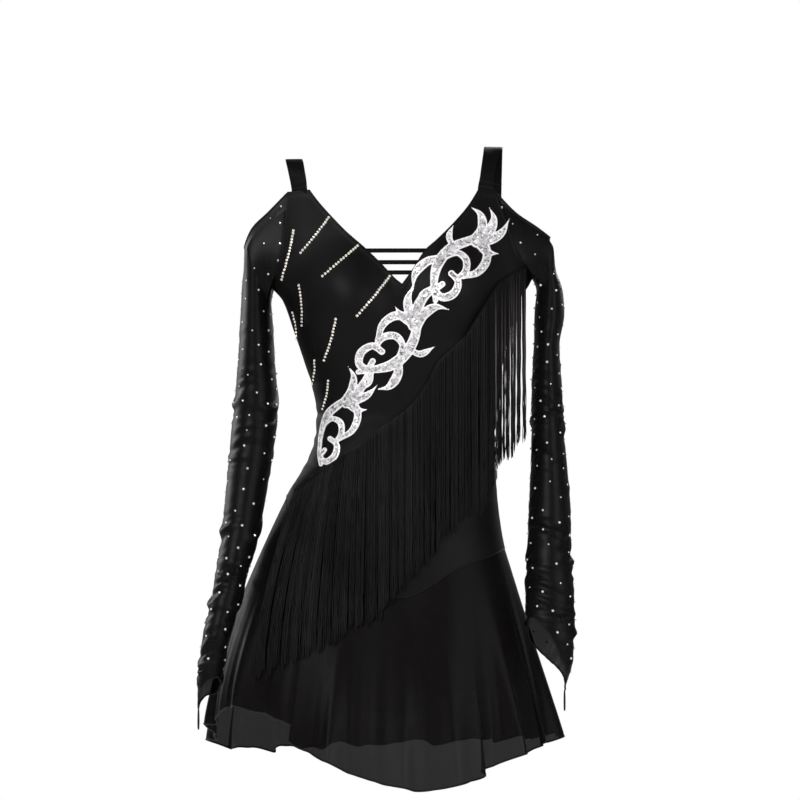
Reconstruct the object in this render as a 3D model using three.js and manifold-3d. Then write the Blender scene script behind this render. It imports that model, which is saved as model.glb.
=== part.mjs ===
// A figure skating dress in the shape that it has when worn: thin cloth walls around an empty hollow.
// Millimetres, with +X to a viewer's right, -Y to the front and +Z up. Left and right are the wearer's own,
// so the right sleeve hangs at -X. The origin lies midway between the tops of the two shoulder straps.
import * as THREE from "three";
import Module from "manifold-3d";
import { mergeVertices } from "three/addons/utils/BufferGeometryUtils.js";
import { TessellateModifier } from "three/addons/modifiers/TessellateModifier.js";

const wasm = await Module();
wasm.setup();

// Driving sizes of the cloth and of the sewn joins.
const SEAM_GAP = 0.5;
const BODICE_CLOTH = 1.4;
const SKIRT_CLOTH = 1.0;
const SLEEVE_CLOTH = 1.0;
const BRIEF_CLOTH = 1.2;
const BRIEF_GAP = 0.8;
const ROUND_TORSO = 0.889; // power that squares the torso's oval a little
const ROUND_HEM = 0.95;

const STRAP = { width: 21, thick: 1.6 };
const NECK_BAR = { height: 4.6, thick: 1.2, tuckedIn: 6, behind: 1.6 };
const LOOP = { long: 24, wide: 13, cord: 0.9 };
const TAPE = { width: 8, thick: 1.3, lift: 1.9 };
const STRAND = { pitch: 2.8, radius: 0.75, first: -126, last: 149, lift: 2.4 };
const SCROLL = { thick: 1.0, lift: 1.6, edge: 8.5 };

function table(names, rows) {
  return rows.map((row) => Object.fromEntries(names.map((name, k) => [name, row[k]])));
}

// The general figure that the dress is cut for. Each row is a height, with the two side edges and how far the
// front and the back stand out from the side seams.
const FIGURE = table(["z", "rightSide", "leftSide", "front", "back"], [
  [-20, -170, 160, 46, 56],
  [-50, -168, 162, 60, 66],
  [-100, -168, 169, 84, 86],
  [-143, -165, 171, 100, 96],
  [-163, -159, 163, 105, 98],
  [-184, -142.5, 149, 108, 98],
  [-221, -129, 138, 106, 93],
  [-259, -116, 130, 100, 86],
  [-296, -104.5, 124.5, 93, 79],
  [-327, -100, 121.5, 89, 76],
  [-359, -103, 120, 89, 78],
  [-390, -115, 120.5, 92, 86],
  [-427, -137, 122.5, 97, 99],
  [-465, -150, 127, 101, 111],
  [-502, -159, 134, 103, 119],
  [-560, -168, 147, 101, 121],
  [-620, -166, 151, 92, 112],
  [-700, -158, 148, 68, 88],
]);

// The two shaped cups: where the fullest point lies, how far each reaches, and how far it stands out.
const CUPS = table(["x", "z", "across", "above", "below", "out"], [
  [-70, -192, 66, 88, 58, 24],
  [76, -180, 66, 88, 58, 24],
]);

// The seam that joins bodice and skirt dips to a point in front. Angles run round the body from the front
// centre, positive towards the wearer's left.
const WAIST_SEAM = table(["angle", "z"], [
  [-90, -427], [-60, -456], [-30, -506], [-8, -543], [5, -546], [16, -534], [28, -516], [42, -505],
  [90, -492], [130, -502], [180, -512], [230, -478],
]);

// The front panel's upper edge, from underarm to underarm.
const FRONT_RIGHT_ARMHOLE = table(["angle", "z"], [
  [-90, -163], [-78, -160.5], [-67, -151], [-58, -132], [-53.5, -104], [-52, -76], [-51, -52],
]);
const FRONT_RIGHT_NECK = table(["x", "z"], [
  [-108, -50], [-98, -64], [-88, -76], [-64, -102], [-37, -127], [5, -168],
]);
const FRONT_LEFT_NECK = table(["x", "z"], [
  [5, -168], [33, -127], [46, -115], [68, -92], [88, -67], [98, -50],
]);
const FRONT_LEFT_ARMHOLE = table(["angle", "z"], [
  [45, -51], [47, -70], [50, -92], [55, -122], [65, -136], [78, -141.5], [90, -143],
]);

// The back panel's upper edge, from the left underarm to the right one: a plain round scoop.
const BACK_LEFT_ARMHOLE = table(["angle", "z"], [
  [90, -143], [102, -140], [113, -131], [121, -112], [125, -88], [127, -60],
]);
const BACK_NECK = table(["x", "z"], [
  [111, -58], [104, -96], [90, -136], [64, -176], [32, -200], [0, -208],
  [-32, -202], [-66, -180], [-92, -142], [-106, -102], [-113, -64],
]);
const BACK_RIGHT_ARMHOLE = table(["angle", "z"], [
  [233, -66], [235, -92], [239, -120], [247, -148], [258, -160], [270, -163],
]);

// Each strap's middle line over the shoulder, with the turn of its width about the vertical.
const RIGHT_STRAP = table(["x", "y", "z", "turn"], [
  [-121.5, -46, -50.5, -30], [-123.5, -45, -34, -24], [-127, -35, -17, -14], [-129.5, -15, -9, -5],
  [-130, 6, -8, 4], [-128.5, 26, -17, 14], [-125.5, 40, -36, 24], [-123.5, 46, -64, 30],
]);
const LEFT_STRAP = table(["x", "y", "z", "turn"], [
  [107.5, -49, -49.4, 27], [109.5, -49, -34, 36], [114, -38, -8, 38], [118, -17, 5, 24],
  [120.5, 5, 8, 4], [121, 26, -3, -14], [121.5, 40, -24, -24], [121.5, 47, -57.4, -28],
]);

// Three narrow straps cross the neckline's point.
const NECK_BARS = table(["name", "z", "from", "to"], [
  ["neck_bar_top", -127, -37, 33], ["neck_bar_middle", -141.5, -22, 23], ["neck_bar_low", -154, -9.5, 14.5],
]);

// The skirt's hem height round the body: high over the right thigh, lowest left of the middle.
const HEM = table(["angle", "z"], [
  [-90, -726], [-72, -700], [-57, -680], [-45, -684], [-34, -700], [-27, -720], [-13, -746], [0, -764],
  [9, -771], [20, -769], [31, -758], [45, -740], [64, -729], [90, -727], [120, -742], [150, -755],
  [180, -762], [210, -764], [240, -757], [258, -742],
]);
const HEM_PLAN = { rightSide: -230, leftSide: 199, front: 150, back: 172 };

// How early the skirt flares out on its way down: a larger power flares near the seam.
const FLARE = table(["angle", "power"], [[-90, 1.6], [-30, 1.45], [30, 1.3], [90, 1.1], [180, 1.35]]);

// Soft folds of the skirt: where each lies, how wide it is and how far it stands out at the hem.
const FOLDS = table(["angle", "half", "out"], [
  [-76, 13, 8], [-52, 11, 6], [-17, 11, 5], [4, 12, 6], [21, 9, 4], [48, 11, 8], [81, 11, 8],
  [104, 12, 13], [127, 11, 11], [149, 12, 13], [171, 11, 12], [194, 12, 13], [216, 11, 11],
  [238, 12, 13], [260, 10, 9],
]);

// Folds where the cloth doubles back under itself. side says towards which angles the hidden part lies.
const TUCKS = table(["angle", "half", "overlap", "step", "side"], [
  [-31, 7, 12, 10, -1], [33, 6, 10, 9, 1], [64, 6.5, 10, 8, 1],
]);

// Sections of the two hanging sleeves: the outer and the inner edge, and the front and back faces.
const RIGHT_SLEEVE = table(["z", "outer", "inner", "front", "back"], [
  [-184, -195, -159, -50, 44], [-221, -197, -156, -50, 41], [-259, -199, -154, -50, 37],
  [-315, -204, -150, -51, 31], [-371, -209, -155, -55, 22], [-409, -212, -161, -60, 14],
  [-446, -215, -167, -67, 5], [-484, -219, -174, -76, -8], [-518, -223, -184, -85, -23],
  [-555, -229, -193, -95, -40], [-590, -236, -203, -101, -53], [-626, -241.5, -212, -101, -60],
  [-660, -243.5, -217, -97, -65], [-676, -243, -230, -90, -72], [-684, -242.5, -237, -85, -77],
]);
const LEFT_SLEEVE = table(["z", "outer", "inner", "front", "back"], [
  [-146, 197, 176, -49, 42], [-171, 205, 174, -49, 42], [-200, 207, 171, -49, 41],
  [-240, 201, 170, -49, 38], [-296, 204, 167, -50, 32], [-371, 208, 166, -55, 21],
  [-446, 213, 162, -68, 4], [-484, 213, 160, -77, -9], [-518, 214, 158, -87, -23],
  [-555, 215, 156, -97, -38], [-590, 215, 157, -104, -50], [-620, 213, 160, -103, -58],
  [-640, 209, 172, -98, -64], [-652, 205, 186, -92, -71], [-662, 202.5, 196, -88, -76],
]);

// The sleeves' bare-shoulder edge, between the front and the back strap.
const RIGHT_SHOULDER = table(["x", "y", "z"], [
  [-160, -32, -76], [-181, -18, -95], [-192, 4, -118], [-183, 27, -104], [-161, 40, -82],
]);
const LEFT_SHOULDER = table(["x", "y", "z"], [
  [145, -38, -77], [171, -22, -93], [190, 2, -105], [179, 25, -97], [156, 39, -80],
]);

// The cuffs' slanted rims, round each sleeve from its inner edge by way of the front: a point lies outermost.
const RIGHT_CUFF = table(["turn", "z"], [
  [0, -655], [45, -643], [90, -647], [135, -662], [180, -683], [225, -676], [270, -668], [315, -666],
]);
const LEFT_CUFF = table(["turn", "z"], [
  [0, -592], [40, -571], [80, -588], [115, -620], [150, -646], [180, -660], [215, -650], [270, -628],
  [320, -606],
]);

// The briefs' leg lines, in front and behind. The gusset joins the two low points.
const FRONT_LEG_LINE = table(["angle", "z"], [
  [-89, -632], [-60, -634], [-38, -642], [-22, -664], [-14, -687], [-2, -687], [10, -687], [17, -676],
  [34, -664], [60, -660], [89, -660],
]);
const BACK_LEG_LINE = table(["angle", "z"], [
  [91, -660], [120, -662], [150, -668], [165, -684], [172, -694], [180, -694], [188, -694], [197, -678],
  [214, -654], [240, -638], [269, -632],
]);
const GUSSET = { lowest: -716, waist: 0.78 };

// The fringe: its tape's lower edge across the front, and the line that the strands' ends make.
const TAPE_LINE = table(["x", "z"], [
  [151, -151], [124, -167], [102, -199], [81, -233], [47, -267], [33, -294], [11, -322], [-28, -350],
  [-46, -367], [-80, -386], [-109, -404], [-128, -421],
]);
const FRINGE_ENDS = table(["x", "z"], [
  [160, -346], [141, -369], [123, -388], [112, -423], [86, -453], [62, -470], [38, -501], [-1, -542],
  [-28, -569], [-52, -578], [-82, -597], [-119, -618], [-163, -637],
]);
const FRINGE_SWING = { starts: -40, most: -29 };
const FRINGE_JAG = 7;

// The applique's axis, from the waist up to the left strap.
const SCROLL_AXIS = table(["x", "z"], [
  [-97, -386], [-84, -352], [-66, -314], [-44, -278], [-12, -249], [23, -218], [46, -177], [71, -140],
  [97, -108], [113, -74],
]);
// One unit of leafy scrollwork: each stroke runs through its points (along and across the axis), and has
// a width at its start, middle and end.
const SCROLL_UNIT = table(["widths", "points"], [
  [[5, 12, 6], [[-2, -4], [22, -15], [48, -10], [72, 7], [98, 13], [126, 4]]],
  [[5, 11, 7], [[56, -7], [38, 5], [31, 21], [41, 35], [56, 33], [61, 21], [51, 15]]],
  [[5, 9, 7], [[72, 6], [86, -5], [103, -9], [114, -20], [107, -32], [94, -30], [94, -19]]],
  [[6, 8, 1.4], [[104, -9], [116, -6], [128, -14]]],
  [[7, 11, 1.4], [[82, 10], [82, 23], [71, 38]]],
  [[7, 11, 1.4], [[92, 12], [99, 26], [113, 34]]],
  [[6, 9, 1.4], [[34, -14], [22, -4], [18, 10], [6, 21]]],
  [[7, 10, 1.4], [[28, -16], [37, -28], [33, -40]]],
  [[7, 10, 1.4], [[16, -13], [17, -27], [4, -37]]],
]);
const SCROLL_UNITS = table(["start", "end", "size", "side", "strokes"], [
  [0.01, 0.3, 0.7, -1, 6], [0.292, 0.632, 0.86, 1, 9], [0.624, 0.97, 0.82, -1, 9],
]);

// A smooth curve through a table's rows that never overshoots them. key is the column that it runs along.
function smooth(rows, key, period = 0) {
  const names = Object.keys(rows[0]).filter((name) => name !== key);
  let knots = [...rows].sort((a, b) => a[key] - b[key]);
  if (period) {
    const moved = (turns) => knots.map((row) => ({ ...row, [key]: row[key] + turns * period }));
    knots = [...moved(-1), ...knots, ...moved(1)];
  }
  const at = knots.map((row) => row[key]);
  const rise = (name, k) => (knots[k + 1][name] - knots[k][name]) / (at[k + 1] - at[k]);
  const slope = (name, k) => {
    if (k === 0) return rise(name, 0);
    if (k === at.length - 1) return rise(name, k - 1);
    const before = rise(name, k - 1);
    const after = rise(name, k);
    return before * after > 0 ? (2 * before * after) / (before + after) : 0;
  };
  return (value) => {
    const place = THREE.MathUtils.clamp(value, at[0], at[at.length - 1]);
    let k = 0;
    while (k < at.length - 2 && at[k + 1] < place) k += 1;
    const span = at[k + 1] - at[k];
    const t = (place - at[k]) / span;
    const found = { [key]: value };
    for (const name of names) {
      const start = knots[k][name];
      const end = knots[k + 1][name];
      const ease = t * t * (3 - 2 * t);
      const bend = span * t * (1 - t) * ((1 - t) * slope(name, k) - t * slope(name, k + 1));
      found[name] = start + (end - start) * ease + bend;
    }
    return found;
  };
}

const radians = THREE.MathUtils.degToRad;
const lerp = THREE.MathUtils.lerp;
const figure = smooth(FIGURE, "z");
const waistSeam = smooth(WAIST_SEAM, "angle", 360);
const hemHeight = smooth(HEM, "angle", 360);
const flarePower = smooth(FLARE, "angle", 360);

function ramp(value) {
  const t = THREE.MathUtils.clamp(value, 0, 1);
  return t * t * (3 - 2 * t);
}

// A point of an oval with squared shoulders, by its turn round the body.
function oval(edges, angle, power) {
  const sine = Math.sin(radians(angle));
  const cosine = Math.cos(radians(angle));
  const middle = (edges.rightSide + edges.leftSide) / 2;
  const half = (edges.leftSide - edges.rightSide) / 2;
  const deep = Math.abs(cosine) ** power;
  return {
    x: middle + half * Math.sign(sine) * Math.abs(sine) ** power,
    y: (cosine > 0 ? -edges.front : edges.back) * deep,
    deep: cosine > 0 ? deep : 0,
  };
}

function cupDepth(x, z) {
  let out = 0;
  for (const cup of CUPS) {
    const down = z > cup.z ? cup.above : cup.below;
    const reach = ((x - cup.x) / cup.across) ** 2 + ((z - cup.z) / down) ** 2;
    if (reach < 1) out += cup.out * (1 - reach) ** 2;
  }
  return out;
}

// The inner face of the dress on the torso.
function torso(angle, z) {
  const place = oval(figure(z), angle, ROUND_TORSO);
  return new THREE.Vector3(place.x, place.y - cupDepth(place.x, z) * place.deep, z);
}

function torsoAngle(x, z) {
  const edges = figure(z);
  const across = (2 * x - edges.rightSide - edges.leftSide) / (edges.leftSide - edges.rightSide);
  const sine = Math.sign(across) * Math.min(1, Math.abs(across)) ** (1 / ROUND_TORSO);
  return THREE.MathUtils.radToDeg(Math.asin(sine));
}

// A table's rows as count + 1 places, evenly spaced on the torso.
function spaced(rows, count, behind = false) {
  const places = rows.map(({ angle, x, z }) => {
    if (angle !== undefined) return { angle, z };
    return { angle: behind ? 180 - torsoAngle(x, z) : torsoAngle(x, z), z };
  });
  const points = places.map(({ angle, z }) => torso(angle, z));
  let length = 0;
  places.forEach((place, k) => {
    if (k) length += points[k].distanceTo(points[k - 1]);
    place.length = length;
  });
  const along = smooth(places, "length");
  return Array.from({ length: count + 1 }, (_, k) => along((length * k) / count));
}

function joined(...stretches) {
  return stretches.flatMap((stretch, k) => (k ? stretch.slice(1) : stretch));
}

// Outward directions at the points of a grid. A closed grid meets itself across its columns.
function normals(grid, closed) {
  const columns = grid.length;
  const rows = grid[0].length;
  const columnAt = (i) => grid[closed ? (i + columns) % columns : THREE.MathUtils.clamp(i, 0, columns - 1)];
  return grid.map((column, i) =>
    column.map((_, j) => {
      const across = columnAt(i + 1)[j].clone().sub(columnAt(i - 1)[j]);
      const down = column[Math.max(j - 1, 0)].clone().sub(column[Math.min(j + 1, rows - 1)]);
      return across.cross(down).normalize();
    }),
  );
}

function moved(grid, directions, distance) {
  return grid.map((column, i) => column.map((point, j) => point.clone().addScaledVector(directions[i][j], distance)));
}

// A closed cloth wall between a grid and the same grid moved outwards by the cloth's thickness.
function wall(inner, outer, closed = false) {
  const columns = inner.length;
  const rows = inner[0].length;
  const positions = [];
  for (const grid of [outer, inner]) {
    for (const column of grid) for (const point of column) positions.push(point.x, point.y, point.z);
  }
  const index = (side, i, j) => side * columns * rows + (i % columns) * rows + j;
  const faces = [];
  const quad = (a, b, c, d) => faces.push(a, b, c, a, c, d);
  const lastColumn = closed ? columns : columns - 1;
  for (let i = 0; i < lastColumn; i += 1) {
    for (let j = 0; j < rows - 1; j += 1) {
      quad(index(0, i, j), index(0, i, j + 1), index(0, i + 1, j + 1), index(0, i + 1, j));
      quad(index(1, i, j), index(1, i + 1, j), index(1, i + 1, j + 1), index(1, i, j + 1));
    }
    quad(index(0, i, 0), index(0, i + 1, 0), index(1, i + 1, 0), index(1, i, 0));
    quad(index(0, i + 1, rows - 1), index(0, i, rows - 1), index(1, i, rows - 1), index(1, i + 1, rows - 1));
  }
  for (let j = 0; j < rows - 1 && !closed; j += 1) {
    const last = columns - 1;
    quad(index(0, 0, j + 1), index(0, 0, j), index(1, 0, j), index(1, 0, j + 1));
    quad(index(0, last, j), index(0, last, j + 1), index(1, last, j + 1), index(1, last, j));
  }
  return outwards(positions, faces);
}

// A geometry from positions and faces, turned so that its faces point out.
function outwards(positions, faces) {
  const corner = (k) => new THREE.Vector3().fromArray(positions, 3 * k);
  let volume = 0;
  for (let k = 0; k < faces.length; k += 3) {
    volume += corner(faces[k]).dot(corner(faces[k + 1]).cross(corner(faces[k + 2])));
  }
  const turned = volume < 0 ? [...faces].reverse() : faces;
  const geometry = new THREE.BufferGeometry();
  geometry.setAttribute("position", new THREE.Float32BufferAttribute(positions, 3));
  geometry.setIndex(turned);
  return geometry;
}

// A rod of any section along a list of rings, closed by a point at each end.
function rod(rings) {
  const sides = rings[0].length;
  const positions = rings.flat().flatMap((point) => point.toArray());
  const faces = [];
  for (let k = 0; k < rings.length - 1; k += 1) {
    for (let j = 0; j < sides; j += 1) {
      const next = (j + 1) % sides;
      const a = k * sides + j;
      const b = k * sides + next;
      faces.push(a, b, b + sides, a, b + sides, a + sides);
    }
  }
  const last = (rings.length - 1) * sides;
  for (let j = 1; j < sides - 1; j += 1) faces.push(0, j + 1, j, last, last + j, last + j + 1);
  return outwards(positions, faces);
}

function toSolid(geometry) {
  const bare = new THREE.BufferGeometry();
  bare.setAttribute("position", geometry.getAttribute("position"));
  bare.setIndex(geometry.getIndex());
  const whole = mergeVertices(bare, 1e-4);
  return new wasm.Manifold(new wasm.Mesh({
    numProp: 3,
    vertProperties: new Float32Array(whole.getAttribute("position").array),
    triVerts: new Uint32Array(whole.index.array),
  }));
}

function toGeometry(solid) {
  const mesh = solid.getMesh();
  const geometry = new THREE.BufferGeometry();
  geometry.setAttribute("position", new THREE.BufferAttribute(new Float32Array(mesh.vertProperties), 3));
  geometry.setIndex(new THREE.BufferAttribute(new Uint32Array(mesh.triVerts), 1));
  return geometry;
}

const dress = new THREE.Group();
const BLACK = { stretch: 0x141315, chiffon: 0x1a181b, net: 0x121113, elastic: 0x101012, fringe: 0x151417 };
const cloth = (color, roughness) => new THREE.MeshStandardMaterial({ color, roughness, metalness: 0 });

function add(name, geometry, material) {
  const piece = new THREE.Mesh(geometry, material);
  piece.name = name;
  dress.add(piece);
}

// A torso panel between two lists of places, in front (toward = -1) or behind (toward = 1). Its rows lie
// closer together near the armholes and the bust.
function torsoPanel(top, bottom, rows, toward) {
  const grid = top.map((place, i) => Array.from({ length: rows + 1 }, (_, j) => {
    const down = (j / rows) ** 1.25;
    const point = torso(lerp(place.angle, bottom[i].angle, down), lerp(place.z, bottom[i].z, down));
    point.y += (toward * SEAM_GAP) / 2;
    return point;
  }));
  const directions = normals(grid, false);
  return { grid, directions, outer: moved(grid, directions, BODICE_CLOTH) };
}

function seamPlaces(from, to, count) {
  return Array.from({ length: count + 1 }, (_, k) => {
    const angle = lerp(from, to, k / count);
    return { angle, z: waistSeam(angle).z };
  });
}

// Bodice
const ARMHOLE_STEPS = 6;
const NECK_STEPS = 7;
const SEAT_STEPS = 2;
const BACK_NECK_STEPS = 10;
const frontTop = joined(
  spaced(FRONT_RIGHT_ARMHOLE, ARMHOLE_STEPS),
  spaced([FRONT_RIGHT_ARMHOLE.at(-1), FRONT_RIGHT_NECK[0]], SEAT_STEPS),
  spaced(FRONT_RIGHT_NECK, NECK_STEPS),
  spaced(FRONT_LEFT_NECK, NECK_STEPS),
  spaced([FRONT_LEFT_NECK.at(-1), FRONT_LEFT_ARMHOLE[0]], SEAT_STEPS),
  spaced(FRONT_LEFT_ARMHOLE, ARMHOLE_STEPS),
);
const backTop = joined(
  spaced(BACK_LEFT_ARMHOLE, ARMHOLE_STEPS),
  spaced([BACK_LEFT_ARMHOLE.at(-1), BACK_NECK[0]], 1, true),
  spaced(BACK_NECK, BACK_NECK_STEPS, true),
  spaced([BACK_NECK.at(-1), BACK_RIGHT_ARMHOLE[0]], 1, true),
  spaced(BACK_RIGHT_ARMHOLE, ARMHOLE_STEPS),
);
const frontSeam = seamPlaces(-90, 90, frontTop.length - 1);
const backSeam = seamPlaces(90, 270, backTop.length - 1);
const bodiceFront = torsoPanel(frontTop, frontSeam, 16, -1);
const bodiceBack = torsoPanel(backTop, backSeam, 12, 1);
add("bodice_front", wall(bodiceFront.grid, bodiceFront.outer), cloth(BLACK.stretch, 0.75));
add("bodice_back", wall(bodiceBack.grid, bodiceBack.outer), cloth(BLACK.stretch, 0.75));

// Straps
function strap(rows) {
  const along = smooth(rows.map((row, k) => ({ ...row, step: k })), "step");
  const steps = 14;
  const middles = Array.from({ length: steps + 1 }, (_, k) => along((k * (rows.length - 1)) / steps));
  const rings = middles.map((here, k) => {
    const before = middles[Math.max(k - 1, 0)];
    const after = middles[Math.min(k + 1, steps)];
    const forward = new THREE.Vector3(after.x - before.x, after.y - before.y, after.z - before.z).normalize();
    const wide = new THREE.Vector3(Math.cos(radians(here.turn)), Math.sin(radians(here.turn)), 0);
    wide.addScaledVector(forward, -wide.dot(forward)).normalize();
    const thick = wide.clone().cross(forward).normalize();
    const middle = new THREE.Vector3(here.x, here.y, here.z);
    return [[-1, -1], [1, -1], [1, 1], [-1, 1]].map(([u, v]) =>
      middle.clone().addScaledVector(wide, (u * STRAP.width) / 2).addScaledVector(thick, (v * STRAP.thick) / 2));
  });
  return rod(rings);
}
add("strap_right", strap(RIGHT_STRAP), cloth(BLACK.elastic, 0.6));
add("strap_left", strap(LEFT_STRAP), cloth(BLACK.elastic, 0.6));

// Neck bars, pulled straight between the neckline's edges and sewn behind them
function neckBar({ z, from, to }) {
  const ends = [from - NECK_BAR.tuckedIn, to + NECK_BAR.tuckedIn].map((x) => torso(torsoAngle(x, z), z));
  const steps = 4;
  const grid = Array.from({ length: steps + 1 }, (_, i) => [0.5, -0.5].map((share) => {
    const point = ends[0].clone().lerp(ends[1], i / steps);
    point.y += NECK_BAR.behind + NECK_BAR.thick + share * NECK_BAR.height * 0.37;
    point.z += share * NECK_BAR.height;
    return point;
  }));
  return wall(grid, moved(grid, normals(grid, false), NECK_BAR.thick));
}
for (const bar of NECK_BARS) add(bar.name, neckBar(bar), cloth(BLACK.elastic, 0.6));

// The sewn seam at an angle, straight between the bodice's own points so that the skirt's edge meets it.
function seamPoint(angle) {
  const places = angle > 90 ? backSeam : frontSeam;
  const place = ((angle - places[0].angle) / 180) * (places.length - 1);
  const k = Math.min(Math.floor(place), places.length - 2);
  const [start, end] = [places[k], places[k + 1]].map((found) => torso(found.angle, found.z));
  return start.lerp(end, place - k);
}

// Skirt
function skirtPoint(angle, down) {
  const start = seamPoint(angle);
  start.z -= SEAM_GAP;
  const end = oval(HEM_PLAN, angle, ROUND_HEM);
  const spread = 1 - (1 - down) ** flarePower(angle).power;
  const deepening = down ** 1.4;
  let out = 0;
  let aside = 0;
  for (const fold of FOLDS) {
    const away = Math.abs(THREE.MathUtils.euclideanModulo(angle - fold.angle + 180, 360) - 180) / fold.half;
    if (away < 1) out += fold.out * Math.cos((away * Math.PI) / 2) ** 2;
  }
  for (const tuck of TUCKS) {
    const past = (angle - tuck.angle) / tuck.half;
    if (Math.abs(past) < 1) aside -= tuck.overlap * Math.sin(past * Math.PI);
    const hidden = past * tuck.side;
    out -= tuck.step * ramp((hidden + 1) / 2) * ramp(1 - (hidden - 1) / 4);
  }
  const turn = radians(angle);
  const x = lerp(start.x, end.x, spread) + deepening * (out * Math.sin(turn) + aside * Math.cos(turn));
  const y = lerp(start.y, end.y, spread) + deepening * (-out * Math.cos(turn) + aside * Math.sin(turn));
  return new THREE.Vector3(x, y, lerp(start.z, hemHeight(angle).z, down));
}

// Angles for the skirt's columns: those of the seam's points, and more between them where it is tucked.
function skirtAngles(places, parts, tuckedParts) {
  const angles = [];
  places.slice(1).forEach(({ angle }, k) => {
    const before = places[k].angle;
    const tucked = TUCKS.some((tuck) => angle > tuck.angle - tuck.half && before < tuck.angle + tuck.half);
    const count = tucked ? tuckedParts : parts;
    for (let n = 0; n < count; n += 1) angles.push(lerp(before, angle, n / count));
  });
  return [...angles, places.at(-1).angle];
}

function skirtPanel(angles, rows, toward) {
  const grid = angles.map((angle) => Array.from({ length: rows + 1 }, (_, j) => {
    const point = skirtPoint(angle, j / rows);
    point.y += (toward * SEAM_GAP) / 2;
    return point;
  }));
  return { grid, outer: moved(grid, normals(grid, false), SKIRT_CLOTH) };
}
const skirtFront = skirtPanel(skirtAngles(frontSeam, 1, 3), 8, -1);
const skirtBack = skirtPanel(skirtAngles(backSeam, 2, 2), 6, 1);
add("skirt_front", wall(skirtFront.grid, skirtFront.outer), cloth(BLACK.chiffon, 0.9));
add("skirt_back", wall(skirtBack.grid, skirtBack.outer), cloth(BLACK.chiffon, 0.9));

// Briefs, sewn in under the skirt
function briefPanel(legLine, from, to, toward) {
  const count = 18;
  const rows = 5;
  const low = spaced(legLine, count);
  const high = seamPlaces(from, to, count);
  const grid = high.map((place, i) => Array.from({ length: rows + 1 }, (_, j) => {
    const down = j / rows;
    const point = torso(lerp(place.angle, low[i].angle, down), lerp(place.z, low[i].z, down));
    point.y += (toward * SEAM_GAP) / 2;
    return point;
  }));
  const directions = normals(grid, false);
  const outer = moved(grid, directions, -BRIEF_GAP);
  return { grid: moved(grid, directions, -BRIEF_GAP - BRIEF_CLOTH), outer };
}
const briefFront = briefPanel(FRONT_LEG_LINE, -89, 89, -1);
const briefBack = briefPanel(BACK_LEG_LINE, 91, 269, 1);
add("brief_front", wall(briefFront.grid, briefFront.outer), cloth(BLACK.stretch, 0.8));
add("brief_back", wall(briefBack.grid, briefBack.outer), cloth(BLACK.stretch, 0.8));

function gusset() {
  const frontEdge = [-13, -6, 0, 5, 9.5].map((angle) => torso(angle, -687));
  const backEdge = [187, 183.5, 180, 176.5, 173].map((angle) => torso(angle, -693.2));
  const inside = BRIEF_GAP + BRIEF_CLOTH / 2;
  const steps = 8;
  const grid = frontEdge.map((start, i) => Array.from({ length: steps + 1 }, (_, j) => {
    const t = j / steps;
    const end = backEdge[i];
    const sag = Math.sin(t * Math.PI);
    const narrow = lerp(1, GUSSET.waist, sag);
    const middle = lerp(frontEdge[2].x, backEdge[2].x, t);
    const floor = lerp(start.z, end.z, t) - SEAM_GAP - BRIEF_CLOTH / 2;
    return new THREE.Vector3(
      middle + (lerp(start.x, end.x, t) - middle) * narrow,
      lerp(start.y + inside, end.y - inside, t),
      lerp(floor, GUSSET.lowest, sag ** 0.8),
    );
  }));
  const directions = normals(grid, false);
  return wall(moved(grid, directions, -BRIEF_CLOTH / 2), moved(grid, directions, BRIEF_CLOTH / 2));
}
add("brief_gusset", gusset(), cloth(BLACK.stretch, 0.8));

// Sleeves: open tubes from the armhole and the bare-shoulder edge down to the pointed cuff. Seams join each
// sleeve's three parts, which run from one row of points to another.
const SLEEVE_ROWS = 15;
const SLEEVE_PARTS = { upper: [0, 5], middle: [5, 10], lower: [10, SLEEVE_ROWS] };
const SLEEVE_SEAM_GAP = 0.8;
function sleeve(name, { sections, cuff, frontHole, backHole, shoulder, side }) {
  const section = smooth(sections, "z");
  const rim = smooth(cuff, "turn", 360);
  const clear = side * (SLEEVE_CLOTH + SEAM_GAP + 1.1);
  const away = (place) => {
    const point = torso(place.angle, place.z);
    point.x += clear;
    return point;
  };
  const loop = [
    ...frontHole.map(away),
    ...shoulder.map(({ x, y, z }) => new THREE.Vector3(x, y, z)),
    ...backHole.slice(1).map(away),
  ];
  const grid = loop.map((start, i) => {
    const turn = (360 * i) / loop.length;
    const endZ = rim(turn).z;
    return Array.from({ length: SLEEVE_ROWS + 1 }, (_, j) => {
      const z = lerp(start.z, endZ, (j / SLEEVE_ROWS) ** 1.12);
      const cut = section(z);
      const x = (cut.outer + cut.inner) / 2 + ((cut.inner - cut.outer) / 2) * Math.cos(radians(turn));
      const y = (cut.front + cut.back) / 2 + ((cut.front - cut.back) / 2) * Math.sin(radians(turn));
      const settled = ramp((start.z - z) / lerp(38, 85, (1 - Math.cos(radians(turn))) / 2));
      return new THREE.Vector3(lerp(start.x, x, settled), lerp(start.y, y, settled), z);
    });
  });
  const directions = normals(grid, true);
  for (const [part, [first, last]] of Object.entries(SLEEVE_PARTS)) {
    const rows = (columns) => columns.map((column) => column.slice(first, last + 1));
    const middle = rows(grid).map((column) => column.map((point, j) => {
      const lowered = Number(j === 0 && first > 0) - Number(first + j === last && last < SLEEVE_ROWS);
      return point.clone().add(new THREE.Vector3(0, 0, (-lowered * SLEEVE_SEAM_GAP) / 2));
    }));
    const facing = rows(directions);
    const half = (side * SLEEVE_CLOTH) / 2;
    const tube = wall(moved(middle, facing, -half), moved(middle, facing, half), true);
    add(`${name}_${part}`, tube, cloth(BLACK.net, 0.5));
  }
}
const reversed = (rows) => [...rows].reverse();
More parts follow.
